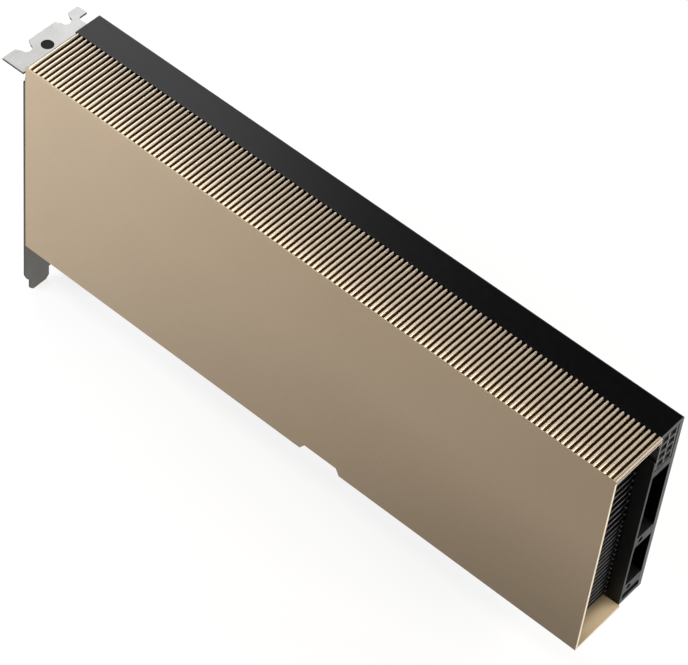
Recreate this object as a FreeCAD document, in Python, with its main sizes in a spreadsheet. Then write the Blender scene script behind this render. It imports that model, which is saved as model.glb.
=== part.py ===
import FreeCAD, Part
import os
import re
import Sketcher

# Passive dual-slot accelerator card, in millimetres.
# The origin is the middle of the key notch, on the lower edge of the card-edge tongue,
# halfway through the board's thickness. +X runs from the bracket to the rear end,
# +Y from the gold cover to the back cover, and +Z up, away from the slot.

SIZES = {
    # overall
    "card_height": 111.15,
    "key_to_bracket": 59.05,
    "component_height": 34.6,
    # shroud
    "end_gap": 0.2,
    "shroud_length": 267.5,
    "shroud_height": 95.6,
    "shroud_depth": 25.5,
    "front_wall": 1.1,
    "lower_wall": 1.1,
    "roof_thickness": 2.0,
    "shroud_edge_round": 0.3,
    "rib_pitch": 2.172,
    "groove_width": 1.1,
    "groove_depth": 1.3,
    "rib_bevel": 0.35,
    "groove_front_gap": 0.35,
    "first_groove": 0.4,
    "end_rim": 1.5,
    "rim_width": 0.6,
    "rim_line_width": 0.25,
    "rim_line_depth": 0.6,
    "latch_notch_start": 139.7,
    "latch_notch_length": 19.05,
    "latch_notch_depth": 3.3,
    "latch_notch_front_lean": 2.2,
    "latch_notch_rear_lean": 1.7,
    "latch_notch_wall": 1.0,
    "boss_width": 6.0,
    "boss_length": 9.0,
    "boss_inset": 7.6,
    "boss_hole_depth": 7.5,
    # board and card edge
    "board_thickness": 1.57,
    "board_start": 0.3,
    "board_end_gap": 1.3,
    "board_top_gap": 0.6,
    "tongue_height": 8.25,
    "tongue_short_side": 12.6,
    "tongue_long_side": 72.6,
    "tongue_bevel": 0.45,
    "key_width": 1.9,
    "key_height": 7.7,
    "hook_gap": 3.0,
    "hook_leg": 3.4,
    "hook_toe": 3.0,
    "hook_rise": 1.2,
    "toe_height": 2.8,
    "rear_edge_rise": 1.75,
    "rear_edge_run": 5.0,
    # contacts
    "contact_pitch": 1.0,
    "contact_width": 0.7,
    "contact_length": 5.4,
    "contact_thickness": 0.05,
    "contact_rise": 0.8,
    "contact_from_key": 1.5,
    # back cover and film
    "film_space": 0.33,
    "film_thickness": 0.25,
    "film_margin": 0.4,
    "cover_start": 0.33,
    "cover_end_inset": 0.6,
    "cover_thickness": 2.1,
    "cover_low_gap": 0.6,
    "ledge_thickness": 1.4,
    "ledge_gap": 0.05,
    "cover_round": 1.2,
    # rear frame
    "frame_length": 10.2,
    "frame_wall": 1.2,
    "frame_gap": 0.1,
    "frame_back_gap": 0.05,
    "frame_low_gap": 0.8,
    "frame_floor": 2.0,
    "top_rib": 1.1,
    "socket_rib": 3.3,
    "middle_rib": 5.2,
    "lower_pocket": 22.3,
    "lower_rib": 5.0,
    "slim_slot": 3.1,
    "pocket_depth": 9.0,
    "pocket_bevel": 0.5,
    "thread_depth": 8.0,
    "thread_setback": 3.9,
    "latch_cut_drop": 3.5,
    "latch_cut_height": 8.3,
    "latch_cut_length": 6.0,
    # power socket
    "socket_gap": 0.1,
    "socket_inset": 0.2,
    "socket_length": 13.6,
    "socket_rim": 0.2,
    "cell_pitch": 4.2,
    "cell_width": 3.3,
    "cell_depth": 11.0,
    "cell_rows": 4,
    "pin_width": 0.9,
    "pin_gap": 0.1,
    "pin_recess": 3.4,
    "pin_tail": 2.6,
    "pin_row_step": 3.0,
    "latch_ledge_width": 4.0,
    "latch_ledge_height": 0.9,
    "latch_ledge_length": 3.0,
    "latch_ledge_inset": 2.2,
    # bracket
    "plate_thickness": 0.95,
    "bracket_height": 120.02,
    "bracket_width": 38.74,
    "bracket_inset": 0.15,
    "flange_drop": 3.95,
    "flange_reach": 11.43,
    "flange_root": 34.25,
    "finger_width": 4.6,
    "finger_round": 1.2,
    "screw_notch_width": 4.42,
    "screw_notch_depth": 4.43,
    "screw_notch_first": 9.85,
    "screw_notch_flare": 1.35,
    "screw_notch_flare_depth": 2.2,
    "slot_pitch": 20.32,
    "bracket_tongue_width": 10.19,
    "bracket_tongue_inset": 2.75,
    "bracket_tongue_length": 6.5,
    "bracket_tongue_bevel": 1.6,
    "shoulder_rise": 4.3,
    "shoulder_step_in": 1.12,
    "shoulder_step_up": 1.4,
    "relief_width": 1.5,
    "relief_height": 3.5,
    "bend_round": 1.2,
    "vent_length": 21.0,
    "vent_height": 3.4,
    "vent_pitch": 5.6,
    "vent_from_edge": 3.4,
    "vent_first": 16.0,
    "vent_last": 10.0,
    "ear_length": 9.0,
    "ear_height": 8.0,
    "ear_screw": 5.5,
    "ear_drop": 18.0,
    "ear_rise": 11.6,
    # flange insert
    "insert_radius": 2.5,
    "insert_setback": 4.97,
    "insert_from_edge": 16.45,
    "insert_gap": 0.05,
    "insert_sink": 0.12,
    # cooler
    "base_clearance": 3.2,
    "base_thickness": 5.0,
    "base_start": 12.5,
    "base_end_gap": 0.5,
    "base_top_gap": 1.6,
    "base_low_gap": 0.2,
    "socket_cut_length": 12.0,
    "socket_cut_gap": 3.8,
    "post_size": 5.0,
    "post_across": 21.0,
    "post_up": 10.0,
    "post_hole_depth": 5.0,
    "seat_size": 18.0,
    "fin_thickness": 0.4,
    "fin_gap": 0.6,
    "fin_end_gap": 0.2,
    "fine_fin_pitch": 2.72,
    "wide_fin_pitch": 3.8,
    "fine_fins": 16,
    # processors and memory
    "processors": 4,
    "processor_drop": 52.0,
    "carrier_size": 30.0,
    "carrier_thickness": 1.6,
    "die_width": 13.0,
    "die_height": 12.0,
    "die_thickness": 0.75,
    "paste_thickness": 0.1,
    "memory_width": 14.0,
    "memory_height": 12.0,
    "memory_thickness": 1.1,
    "memory_across": 7.7,
    "memory_up": 22.5,
    "pad_margin": 1.0,
    "switch_size": 21.0,
    "switch_thickness": 2.0,
    "switch_rise": 16.1,
    # supply and small parts
    "choke_size": 7.0,
    "choke_gap": 0.2,
    "choke_rise": 39.5,
    "choke_pitch": 9.0,
    "chokes_each": 4,
    "stage_size": 5.0,
    "stage_thickness": 0.8,
    "stage_rise": 32.0,
    "block_across": 20.0,
    "block_width": 7.3,
    "block_height": 4.3,
    "block_thickness": 2.8,
    "firmware_width": 6.0,
    "firmware_height": 5.0,
    "firmware_thickness": 1.2,
    "crystal_step": 8.0,
    "crystal_width": 3.2,
    "crystal_height": 2.5,
    "crystal_thickness": 0.8,
    # lower air baffle
    "baffle_inset": 0.6,
    "baffle_height": 4.2,
    "baffle_gap": 0.1,
    # screws and their holes, which are drawn with few sides
    "head_sides": 10,
    "shank_sides": 8,
    "drill_overrun": 1.0,
    "shank_radius": 1.2,
    "tapped_radius": 1.25,
    "through_radius": 1.4,
    "head_radius": 2.2,
    "head_height": 1.2,
    "head_sink": 0.1,
    "head_gap": 0.2,
    "cooler_screw_reach": 3.2,
    "bracket_screw_reach": 1.3,
    "frame_screw_reach": 4.0,
    "frame_screw_hole": 5.0,
    "shroud_screw_reach": 6.0,
}

doc = FreeCAD.newDocument("AcceleratorCard")
sheet = doc.addObject("Spreadsheet::Sheet", "Dims")
for row, (alias, value) in enumerate(SIZES.items(), start=1):
    sheet.set(f"A{row}", alias)
    sheet.set(f"B{row}", str(value))
    sheet.setAlias(f"B{row}", alias)
doc.recompute()


# Expressions of the sheet's sizes

def terms(expression):
    """The expression with each size's name pointed at its cell."""
    def cell(match):
        word = match.group(0)
        return f"Dims.{word}" if word in SIZES else word
    return re.sub(r"[a-z_]+", cell, expression)


def number(expression):
    """The present value of an expression."""
    return float(sheet.evalExpression(terms(expression)))


def whole(expression):
    """The present value of an expression that counts pieces."""
    return int(round(number(expression)))


def centred(middle, size):
    """The two ends of a size laid evenly about a middle."""
    return (f"(({middle}) - ({size}) / 2)", f"(({middle}) + ({size}) / 2)")


# Planes that pieces share

INNER_FACE = "(-key_to_bracket)"
OUTER_FACE = "(-key_to_bracket - plate_thickness)"
TOP = "card_height"
LOW = "(card_height - shroud_height)"
ROOF_UNDER = "(card_height - roof_thickness)"
BOARD_FRONT = "(-board_thickness / 2)"
BOARD_BACK = "(board_thickness / 2)"
GOLD_FACE = f"({BOARD_FRONT} - component_height)"
GOLD_REAR = f"({GOLD_FACE} + shroud_depth)"
WALL_INSIDE = f"({GOLD_FACE} + front_wall)"
FLOOR_TOP = f"({LOW} + lower_wall)"
SHROUD_START = "(-key_to_bracket + end_gap)"
SHROUD_END = f"({SHROUD_START} + shroud_length)"

COVER_INSIDE = f"({BOARD_BACK} + film_space)"
COVER_OUTSIDE = f"({COVER_INSIDE} + cover_thickness)"
COVER_START = "(-key_to_bracket + cover_start)"
COVER_END = f"({SHROUD_END} - cover_end_inset)"
COVER_LOW = f"({LOW} + cover_low_gap)"
LEDGE_UNDER = "(card_height - ledge_thickness)"

FRAME_START = f"({COVER_END} - frame_length)"
FRAME_FRONT = f"({GOLD_REAR} + frame_gap)"
FRAME_INSIDE = f"({FRAME_FRONT} + frame_wall)"
FRAME_BACK = f"({COVER_INSIDE} - frame_back_gap)"
FRAME_TOP = f"({LEDGE_UNDER} - ledge_gap)"
FRAME_LOW = f"({LOW} + frame_low_gap)"
SOCKET_HEIGHT = "(cell_rows * cell_pitch + 2 * socket_rim)"
BAY_TOP = f"({LEDGE_UNDER} - top_rib)"
BAY_LOW = f"({BAY_TOP} - {SOCKET_HEIGHT} - 2 * socket_gap)"
UPPER_POCKET_TOP = f"({BAY_LOW} - socket_rib)"
SLIM_SLOT_LOW = f"({FRAME_LOW} + frame_floor)"
SLIM_SLOT_TOP = f"({SLIM_SLOT_LOW} + slim_slot)"
LOWER_POCKET_LOW = f"({SLIM_SLOT_TOP} + lower_rib)"
LOWER_POCKET_TOP = f"({LOWER_POCKET_LOW} + lower_pocket)"
UPPER_POCKET_LOW = f"({LOWER_POCKET_TOP} + middle_rib)"
THREAD_LINE = f"({FRAME_FRONT} + thread_setback)"
UPPER_THREAD = f"({LOWER_POCKET_TOP} + middle_rib / 2)"
LOWER_THREAD = f"({SLIM_SLOT_TOP} + lower_rib / 2)"
LATCH_CUT_TOP = f"({BAY_TOP} - latch_cut_drop)"

SOCKET_END = f"({COVER_END} - socket_inset)"
SOCKET_START = f"({SOCKET_END} - socket_length)"
SOCKET_FRONT = f"({FRAME_INSIDE} + socket_gap)"
SOCKET_BACK = f"({COVER_INSIDE} - socket_gap)"
SOCKET_TOP = f"({BAY_TOP} - socket_gap)"
SOCKET_LOW = f"({SOCKET_TOP} - {SOCKET_HEIGHT})"
SOCKET_MIDDLE = f"(({SOCKET_FRONT} + {SOCKET_BACK}) / 2)"
SOCKET_CENTRE = f"(({SOCKET_TOP} + {SOCKET_LOW}) / 2)"
LATCH_MIDDLE = f"({LATCH_CUT_TOP} - latch_cut_height / 2)"
BOARD_START = "(-key_to_bracket + board_start)"
BOARD_END = f"({SOCKET_START} - board_end_gap)"
BOARD_TOP = f"({LEDGE_UNDER} - board_top_gap)"

BAFFLE_LOW = f"({LOW} + baffle_inset)"
BAFFLE_TOP = f"({BAFFLE_LOW} + baffle_height)"
BASE_BACK = f"({BOARD_FRONT} - base_clearance)"
BASE_FRONT = f"({BASE_BACK} - base_thickness)"
BASE_TOP = f"({ROOF_UNDER} - base_top_gap)"
BASE_LOW = f"({BAFFLE_TOP} + base_low_gap)"
BASE_START = "(-key_to_bracket + base_start)"
BASE_END = f"({FRAME_START} - base_end_gap)"
CARRIER_FRONT = f"({BOARD_FRONT} - carrier_thickness)"
DIE_FRONT = f"({CARRIER_FRONT} - die_thickness)"
PASTE_FRONT = f"({DIE_FRONT} - paste_thickness)"
MEMORY_FRONT = f"({BOARD_FRONT} - memory_thickness)"
SWITCH_FRONT = f"({BOARD_FRONT} - switch_thickness)"

FLANGE_TOP = "(card_height - flange_drop)"
FLANGE_UNDER = f"({FLANGE_TOP} - plate_thickness)"
FLANGE_TIP = "(-key_to_bracket - flange_reach)"
BRACKET_NEAR = f"({GOLD_FACE} + bracket_inset)"
BRACKET_FAR = f"({BRACKET_NEAR} + bracket_width)"
BRACKET_TIP = f"({FLANGE_TOP} - bracket_height)"
SHOULDER = f"({BRACKET_TIP} + bracket_tongue_length)"
EAR_SCREW = "(-key_to_bracket + ear_screw)"
UPPER_EAR = "(card_height - ear_drop)"
LOWER_EAR = f"({LOW} + ear_rise)"
BOSS_LINE = f"({WALL_INSIDE} + boss_width / 2)"
UPPER_BOSS = f"({ROOF_UNDER} - boss_inset)"
LOWER_BOSS = f"({FLOOR_TOP} + boss_width / 2)"

HEAD_SEAT = f"({COVER_OUTSIDE} - head_height - head_sink)"
FRAME_SCREW = f"({FRAME_START} + frame_length / 2)"
BORE_RADIUS = "(head_radius + head_gap)"

# Places that repeat

PROCESSOR_PITCH = f"(({BOARD_END} - {BASE_START}) / processors)"
PROCESSOR_Z = "(card_height - processor_drop)"
SIDES = ("-", "+")


def processor_x(position):
    """The middle of a processor, or of the space between two, along the board."""
    return f"({BASE_START} + ({position} + 0.5) * {PROCESSOR_PITCH})"


def post_spots():
    """Centres of the two cooler screws that stand on a diagonal through every processor."""
    spots = []
    for index in range(whole("processors")):
        for side, level in zip(SIDES, reversed(SIDES)):
            across = f"({processor_x(index)} {side} post_across)"
            up = f"({PROCESSOR_Z} {level} post_up)"
            spots.append((across, up))
    return spots


def socket_spots():
    """Column, and the y and z, of every way of the power socket."""
    rows = whole("cell_rows")
    spots = []
    for column, side in enumerate(SIDES):
        for level in range(rows):
            across = f"({SOCKET_MIDDLE} {side} cell_pitch / 2)"
            up = f"({SOCKET_CENTRE} + ({level} - {rows - 1} / 2) * cell_pitch)"
            spots.append((column, across, up))
    return spots


def pin_line(column):
    """Where the pins of one column turn into the board."""
    return f"({SOCKET_START} - pin_tail - {1 - column} * pin_row_step)"


EAR_SPOTS = [(EAR_SCREW, UPPER_EAR), (EAR_SCREW, LOWER_EAR)]
FRAME_SCREW_SPOTS = [(FRAME_SCREW, UPPER_THREAD), (FRAME_SCREW, LOWER_THREAD)]
BOSS_SPOTS = [(BOSS_LINE, UPPER_BOSS), (BOSS_LINE, LOWER_BOSS)]
NOTCH_LINES = [
    f"({BRACKET_NEAR} + screw_notch_first)",
    f"({BRACKET_NEAR} + screw_notch_first + slot_pitch)",
]

# Bodies: sketches on their own planes, and the features made from them

NORMAL_SIGN = {"XY_Plane": 1, "YZ_Plane": 1, "XZ_Plane": -1}


def new_body(label):
    body = doc.addObject("PartDesign::Body", label)
    body.Label = label
    return body


def own_plane(body, role):
    return [item for item in body.Origin.OriginFeatures if item.Role == role][0]


def new_sketch(body, plane, name, place):
    """A sketch parallel to one of the body's planes, at a place on the axis across it."""
    sketch = body.newObject("Sketcher::SketchObject", f"{body.Label}_{name}")
    sketch.AttachmentSupport = [(own_plane(body, plane), "")]
    sketch.MapMode = "FlatFace"
    offset = f"({place})" if NORMAL_SIGN[plane] > 0 else f"-({place})"
    sketch.setExpression("AttachmentOffset.Base.z", terms(offset))
    return sketch


def spot(across, up):
    return FreeCAD.Vector(number(across), number(up), 0)


def hold(sketch, kind, geometry, point, expression):
    """Ties one point's distance from the origin, along one direction, to an expression."""
    rule = Sketcher.Constraint(kind, -1, 1, geometry, point, number(expression))
    position = sketch.addConstraint(rule)
    sketch.setExpression(f"Constraints[{position}]", terms(expression))


def hold_point(sketch, geometry, point, across, up):
    hold(sketch, "DistanceX", geometry, point, across)
    hold(sketch, "DistanceY", geometry, point, up)


def hold_radius(sketch, geometry, radius):
    rule = Sketcher.Constraint("Radius", geometry, number(radius))
    position = sketch.addConstraint(rule)
    sketch.setExpression(f"Constraints[{position}]", terms(radius))


def draw_loop(sketch, corners):
    """A closed loop of straight lines through corners given as pairs of expressions."""
    first = sketch.GeometryCount
    total = len(corners)
    spots = [spot(across, up) for across, up in corners]
    for index in range(total):
        line = Part.LineSegment(spots[index], spots[(index + 1) % total])
        sketch.addGeometry(line, False)
    for index in range(total):
        following = first + (index + 1) % total
        sketch.addConstraint(Sketcher.Constraint("Coincident", first + index, 2, following, 1))
    for index, (across, up) in enumerate(corners):
        hold_point(sketch, first + index, 1, across, up)


def draw_rectangle(sketch, across, up):
    """A rectangle from the low and high ends along each direction."""
    left, right = across
    low, high = up
    draw_loop(sketch, [(left, low), (right, low), (right, high), (left, high)])


def draw_circle(sketch, across, up, radius):
    circle = Part.Circle(spot(across, up), FreeCAD.Vector(0, 0, 1), number(radius))
    geometry = sketch.addGeometry(circle, False)
    hold_radius(sketch, geometry, radius)
    hold_point(sketch, geometry, 3, across, up)


def plane_sign(sketch):
    return NORMAL_SIGN[sketch.AttachmentSupport[0][0].Role]


def add_pad(body, sketch, length, toward=1):
    """Adds the sketch's area, drawn out toward + or - along the axis across it."""
    pad = body.newObject("PartDesign::Pad", f"{sketch.Label}_pad")
    pad.Profile = sketch
    pad.setExpression("Length", terms(length))
    pad.Reversed = toward != plane_sign(sketch)
    body.Tip = pad
    doc.recompute()
    return pad


def add_pocket(body, sketch, length, toward=1):
    """Cuts the sketch's area away toward + or - along the axis across it."""
    before = body.Shape.Volume
    pocket = body.newObject("PartDesign::Pocket", f"{sketch.Label}_pocket")
    pocket.Profile = sketch
    pocket.setExpression("Length", terms(length))
    pocket.Reversed = toward == plane_sign(sketch)
    body.Tip = pocket
    doc.recompute()
    if body.Shape.Volume >= before:
        raise RuntimeError(f"{pocket.Label} cuts nothing")
    return pocket


def add_row(body, feature, axis, spacing, copies, backward=False):
    """Repeats a feature along one of the body's axes."""
    pattern = body.newObject("PartDesign::LinearPattern", f"{feature.Label}_row")
    pattern.Originals = [feature]
    pattern.Direction = (own_plane(body, axis), [""])
    pattern.Reversed = backward
    pattern.Mode = "Spacing"
    pattern.setExpression("Offset", terms(spacing))
    pattern.setExpression("Occurrences", terms(copies))
    body.Tip = pattern
    doc.recompute()
    return pattern


def edge_names(shape, axis, places):
    """Names of the straight edges along an axis that stand at the given places."""
    others = [index for index in range(3) if index != axis]
    wanted = [(number(first), number(second)) for first, second in places]
    names = []
    for position, edge in enumerate(shape.Edges, start=1):
        if edge.Curve.TypeId != "Part::GeomLine":
            continue
        if abs(edge.Curve.Direction[axis]) < 0.999:
            continue
        middle = edge.CenterOfMass
        for first, second in wanted:
            if abs(middle[others[0]] - first) + abs(middle[others[1]] - second) < 1e-4:
                names.append(f"Edge{position}")
    return names


def ease_edges(body, kind, size, axis, places):
    """Rounds (Fillet) or bevels (Chamfer) the edges along an axis at the given places."""
    base = body.Tip
    names = edge_names(base.Shape, axis, places)
    if not names:
        raise RuntimeError(f"{body.Label} has no edge at {places}")
    feature = body.newObject(f"PartDesign::{kind}", f"{body.Label}_{kind}")
    feature.Base = (base, names)
    feature.setExpression("Radius" if kind == "Fillet" else "Size", terms(size))
    body.Tip = feature
    doc.recompute()
    return feature


# Plain blocks and rods, and groups of separate solids

def add_block(name, x_ends, y_ends, z_ends):
    """A box between the two ends given along each axis."""
    block = doc.addObject("Part::Box", name)
    block.Label = name
    ends = {"x": ("Length", x_ends), "y": ("Width", y_ends), "z": ("Height", z_ends)}
    for axis, (side, (low, high)) in ends.items():
        block.setExpression(side, terms(f"({high}) - ({low})"))
        block.setExpression(f"Placement.Base.{axis}", terms(low))
    return block


def add_rod(name, radius, length, place, turn):
    """A cylinder from a place, drawn out along +Z turned by turn."""
    rod = doc.addObject("Part::Cylinder", name)
    rod.Label = name
    rod.setExpression("Radius", terms(radius))
    rod.setExpression("Height", terms(length))
    rod.Placement.Rotation = turn
    for axis, expression in zip("xyz", place):
        rod.setExpression(f"Placement.Base.{axis}", terms(expression))
    return rod


def add_column(name, sides, radius, length, place, turn):
    """A column with few sides from a place, drawn out along +Z turned by turn."""
    column = doc.addObject("Part::Prism", name)
    column.Polygon = whole(sides)
    column.setExpression("Circumradius", terms(radius))
    column.setExpression("Height", terms(length))
    column.Placement.Rotation = turn
    for axis, expression in zip("xyz", place):
        column.setExpression(f"Placement.Base.{axis}", terms(expression))
    return column


def add_group(label, members):
    """One node of separate solids."""
    group = doc.addObject("Part::Compound", label)
    group.Label = label
    group.Links = members
    return group


def join(name, members):
    fused = doc.addObject("Part::MultiFuse", name)
    fused.Label = name
    fused.Shapes = members
    fused.Refine = True
    return fused


def copy_to(label, master, places):
    """One node of separate solids: the master's shape moved to each place."""
    doc.recompute()
    solids = []
    for place in places:
        solid = master.Shape.copy()
        solid.translate(FreeCAD.Vector(*place))
        solids.append(solid)
    feature = doc.addObject("Part::Feature", label)
    feature.Label = label
    feature.Shape = Part.makeCompound(solids)
    return feature


TOWARD_FRONT = FreeCAD.Rotation(FreeCAD.Vector(1, 0, 0), 90)
TOWARD_REAR_END = FreeCAD.Rotation(FreeCAD.Vector(0, 1, 0), 90)


def drills_through(name, sides, radius, y_ends, spots):
    """What a drill clears between two levels of y, at every spot given as x and z."""
    low, high = y_ends
    column = add_column(f"{name}_drill", sides, radius, f"({high}) - ({low})",
                        ("0", high, "0"), TOWARD_FRONT)
    return copy_to(name, column, [(number(across), 0, number(up)) for across, up in spots])


def drills_along(name, radius, x_ends, spots):
    """What a drill clears between two levels of x, at every spot given as y and z."""
    low, high = x_ends
    column = add_column(f"{name}_drill", "shank_sides", radius, f"({high}) - ({low})",
                        (low, "0", "0"), TOWARD_REAR_END)
    return copy_to(name, column, [(0, number(across), number(up)) for across, up in spots])


def drilled(label, blank, drills):
    """The blank, less what its drills clear."""
    doc.recompute()
    before = blank.Shape.Volume
    cut = doc.addObject("Part::Cut", label)
    cut.Label = label
    cut.Base = blank
    cut.Tool = add_group(f"{label}_drills", drills)
    doc.recompute()
    if cut.Shape.Volume >= before:
        raise RuntimeError(f"{label} is not drilled")
    return cut


# Circuit board

def make_board():
    body = new_body("board_blank")
    sketch = new_sketch(body, "XZ_Plane", "outline", BOARD_FRONT)
    rear_low = "(tongue_height + rear_edge_rise)"
    leg_start = "(tongue_long_side + hook_gap)"
    leg_end = f"({leg_start} + hook_leg)"
    toe_end = f"({leg_end} + hook_toe)"
    toe_top = "(hook_rise + toe_height)"
    step_start = f"({toe_end} + rear_edge_run)"
    step_end = f"({step_start} + rear_edge_rise)"
    draw_loop(sketch, [
        (BOARD_START, BOARD_TOP),
        (BOARD_END, BOARD_TOP),
        (BOARD_END, rear_low),
        (step_end, rear_low),
        (step_start, "tongue_height"),
        (leg_end, "tongue_height"),
        (leg_end, toe_top),
        (toe_end, toe_top),
        (toe_end, "hook_rise"),
        (leg_start, "hook_rise"),
        (leg_start, "tongue_height"),
        ("tongue_long_side", "tongue_height"),
        ("tongue_long_side", "0"),
        ("(-tongue_short_side)", "0"),
        ("(-tongue_short_side)", "tongue_height"),
        (BOARD_START, "tongue_height"),
    ])
    add_pad(body, sketch, "board_thickness")
    key_flank = "(key_height - key_width / 2)"
    key = new_sketch(body, "XZ_Plane", "key", BOARD_FRONT)
    draw_rectangle(key, centred("0", "key_width"), ("(-key_width)", key_flank))
    add_pocket(body, key, "board_thickness")
    key_end = new_sketch(body, "XZ_Plane", "key_end", BOARD_FRONT)
    draw_circle(key_end, "0", key_flank, "key_width / 2")
    add_pocket(body, key_end, "board_thickness")
    ease_edges(body, "Chamfer", "tongue_bevel", 0, [(BOARD_FRONT, "0"), (BOARD_BACK, "0")])
    through = (f"({BOARD_FRONT} - drill_overrun)", f"({BOARD_BACK} + drill_overrun)")
    holes = drills_through("board_holes", "shank_sides", "through_radius", through,
                           post_spots() + EAR_SPOTS)
    return drilled("circuit_board", body, [holes])


def make_contacts(label, y_ends):
    """The row of flat contacts on one face of the tongue, on both sides of the key."""
    rise = ("contact_rise", "contact_rise + contact_length")
    master = add_block(f"{label}_one", centred("0", "contact_width"), y_ends, rise)
    first = number("contact_from_key")
    pitch = number("contact_pitch")
    spots = []
    for side, sign in (("tongue_short_side", -1), ("tongue_long_side", 1)):
        room = f"({side} - contact_from_key - contact_width / 2)"
        for index in range(whole(f"floor({room} / contact_pitch) + 1")):
            spots.append((sign * (first + index * pitch), 0, 0))
    return copy_to(label, master, spots)


# Shroud

def make_shroud():
    body = new_body("shroud_blank")
    profile = new_sketch(body, "YZ_Plane", "profile", SHROUD_START)
    draw_loop(profile, [
        (GOLD_FACE, TOP),
        (GOLD_REAR, TOP),
        (GOLD_REAR, ROOF_UNDER),
        (WALL_INSIDE, ROOF_UNDER),
        (WALL_INSIDE, FLOOR_TOP),
        (GOLD_REAR, FLOOR_TOP),
        (GOLD_REAR, LOW),
        (GOLD_FACE, LOW),
    ])
    add_pad(body, profile, "shroud_length")
    front_edges = [(GOLD_FACE, TOP), (GOLD_FACE, LOW)]
    ease_edges(body, "Fillet", "shroud_edge_round", 0, front_edges)
    add_bosses(body)
    add_latch_notch(body)
    add_ribs(body)
    hole_ends = (f"({SHROUD_START} - drill_overrun)", f"({SHROUD_START} + boss_hole_depth)")
    holes = drills_along("boss_holes", "tapped_radius", hole_ends, BOSS_SPOTS)
    return drilled("shroud", body, [holes])


def add_bosses(body):
    """Two blocks at the bracket end that take the bracket's front screws."""
    bosses = new_sketch(body, "YZ_Plane", "bosses", SHROUD_START)
    across = (WALL_INSIDE, f"({WALL_INSIDE} + boss_width)")
    draw_rectangle(bosses, across, (f"({UPPER_BOSS} - boss_width / 2)", ROOF_UNDER))
    draw_rectangle(bosses, across, (FLOOR_TOP, f"({FLOOR_TOP} + boss_width)"))
    add_pad(body, bosses, "boss_length")


NOTCH_TOP = f"({LOW} + latch_notch_depth)"
NOTCH_BELOW = f"({LOW} - latch_notch_depth)"


def notch_corners(low, high, wall):
    """The slanted outline of the latch notch between two levels, grown by a wall."""
    start = "(-key_to_bracket + latch_notch_start)"
    end = f"({start} + latch_notch_length)"

    def left(level):
        run = f"(({level}) - {LOW}) / latch_notch_depth * latch_notch_front_lean"
        return f"({start} + {run} - ({wall}))"

    def right(level):
        run = f"(({level}) - {LOW}) / latch_notch_depth * latch_notch_rear_lean"
        return f"({end} - {run} + ({wall}))"

    return [(left(low), low), (right(low), low), (right(high), high), (left(high), high)]


def add_latch_notch(body):
    """The notch that clears the slot's latch, with a channel that keeps the duct closed."""
    channel = new_sketch(body, "XZ_Plane", "latch_channel", WALL_INSIDE)
    channel_top = f"({NOTCH_TOP} + latch_notch_wall)"
    draw_loop(channel, notch_corners(FLOOR_TOP, channel_top, "latch_notch_wall"))
    add_pad(body, channel, "shroud_depth - front_wall")
    notch = new_sketch(body, "XZ_Plane", "latch_notch", GOLD_FACE)
    draw_loop(notch, notch_corners(NOTCH_BELOW, NOTCH_TOP, "0"))
    add_pocket(body, notch, "shroud_depth")


def add_ribs(body):
    """Grooves across the roof, which leave a long row of ribs with bevelled crests."""
    groove_front = f"({GOLD_FACE} + groove_front_gap)"
    groove = new_sketch(body, "XZ_Plane", "groove", groove_front)
    draw_groove(groove, f"({SHROUD_START} + first_groove)")
    cut = add_pocket(body, groove, "shroud_depth")
    copies = "floor((shroud_length - first_groove - end_rim) / rib_pitch) + 1"
    add_row(body, cut, "X_Axis", "rib_pitch", copies)
    line = new_sketch(body, "XZ_Plane", "rim_line", groove_front)
    line_end = f"({SHROUD_END} - rim_width)"
    line_ends = (f"({line_end} - rim_line_width)", line_end)
    line_levels = ("(card_height - rim_line_depth)", "(card_height + rim_line_depth)")
    draw_rectangle(line, line_ends, line_levels)
    add_pocket(body, line, "shroud_depth")


def draw_groove(sketch, middle):
    """A groove whose mouth opens out, which bevels the crests of the ribs beside it."""
    left = f"({middle} - groove_width / 2)"
    right = f"({middle} + groove_width / 2)"
    mouth_left = f"({left} - rib_bevel)"
    mouth_right = f"({right} + rib_bevel)"
    floor_level = "(card_height - groove_depth)"
    shoulder = "(card_height - rib_bevel)"
    lid = "(card_height + rib_bevel)"
    draw_loop(sketch, [
        (mouth_left, lid),
        (mouth_left, TOP),
        (left, shoulder),
        (left, floor_level),
        (right, floor_level),
        (right, shoulder),
        (mouth_right, TOP),
        (mouth_right, lid),
    ])


# Back cover, film and lower air baffle

def make_back_cover():
    body = new_body("cover_blank")
    profile = new_sketch(body, "YZ_Plane", "profile", COVER_START)
    ledge_edge = f"({GOLD_REAR} + ledge_gap)"
    draw_loop(profile, [
        (ledge_edge, TOP),
        (COVER_OUTSIDE, TOP),
        (COVER_OUTSIDE, COVER_LOW),
        (COVER_INSIDE, COVER_LOW),
        (COVER_INSIDE, LEDGE_UNDER),
        (ledge_edge, LEDGE_UNDER),
    ])
    add_pad(body, profile, f"{COVER_END} - {COVER_START}")
    ease_edges(body, "Fillet", "cover_round", 0, [(COVER_OUTSIDE, TOP)])
    inside = f"({COVER_INSIDE} - drill_overrun)"
    outside = f"({COVER_OUTSIDE} + drill_overrun)"
    seated = EAR_SPOTS + FRAME_SCREW_SPOTS
    drills = [
        drills_through("cover_clearances", "shank_sides", BORE_RADIUS, (inside, outside),
                       post_spots()),
        drills_through("cover_holes", "shank_sides", "through_radius", (inside, outside), seated),
        drills_through("cover_bores", "head_sides", BORE_RADIUS, (HEAD_SEAT, outside), seated),
    ]
    return drilled("back_cover", body, drills)


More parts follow.
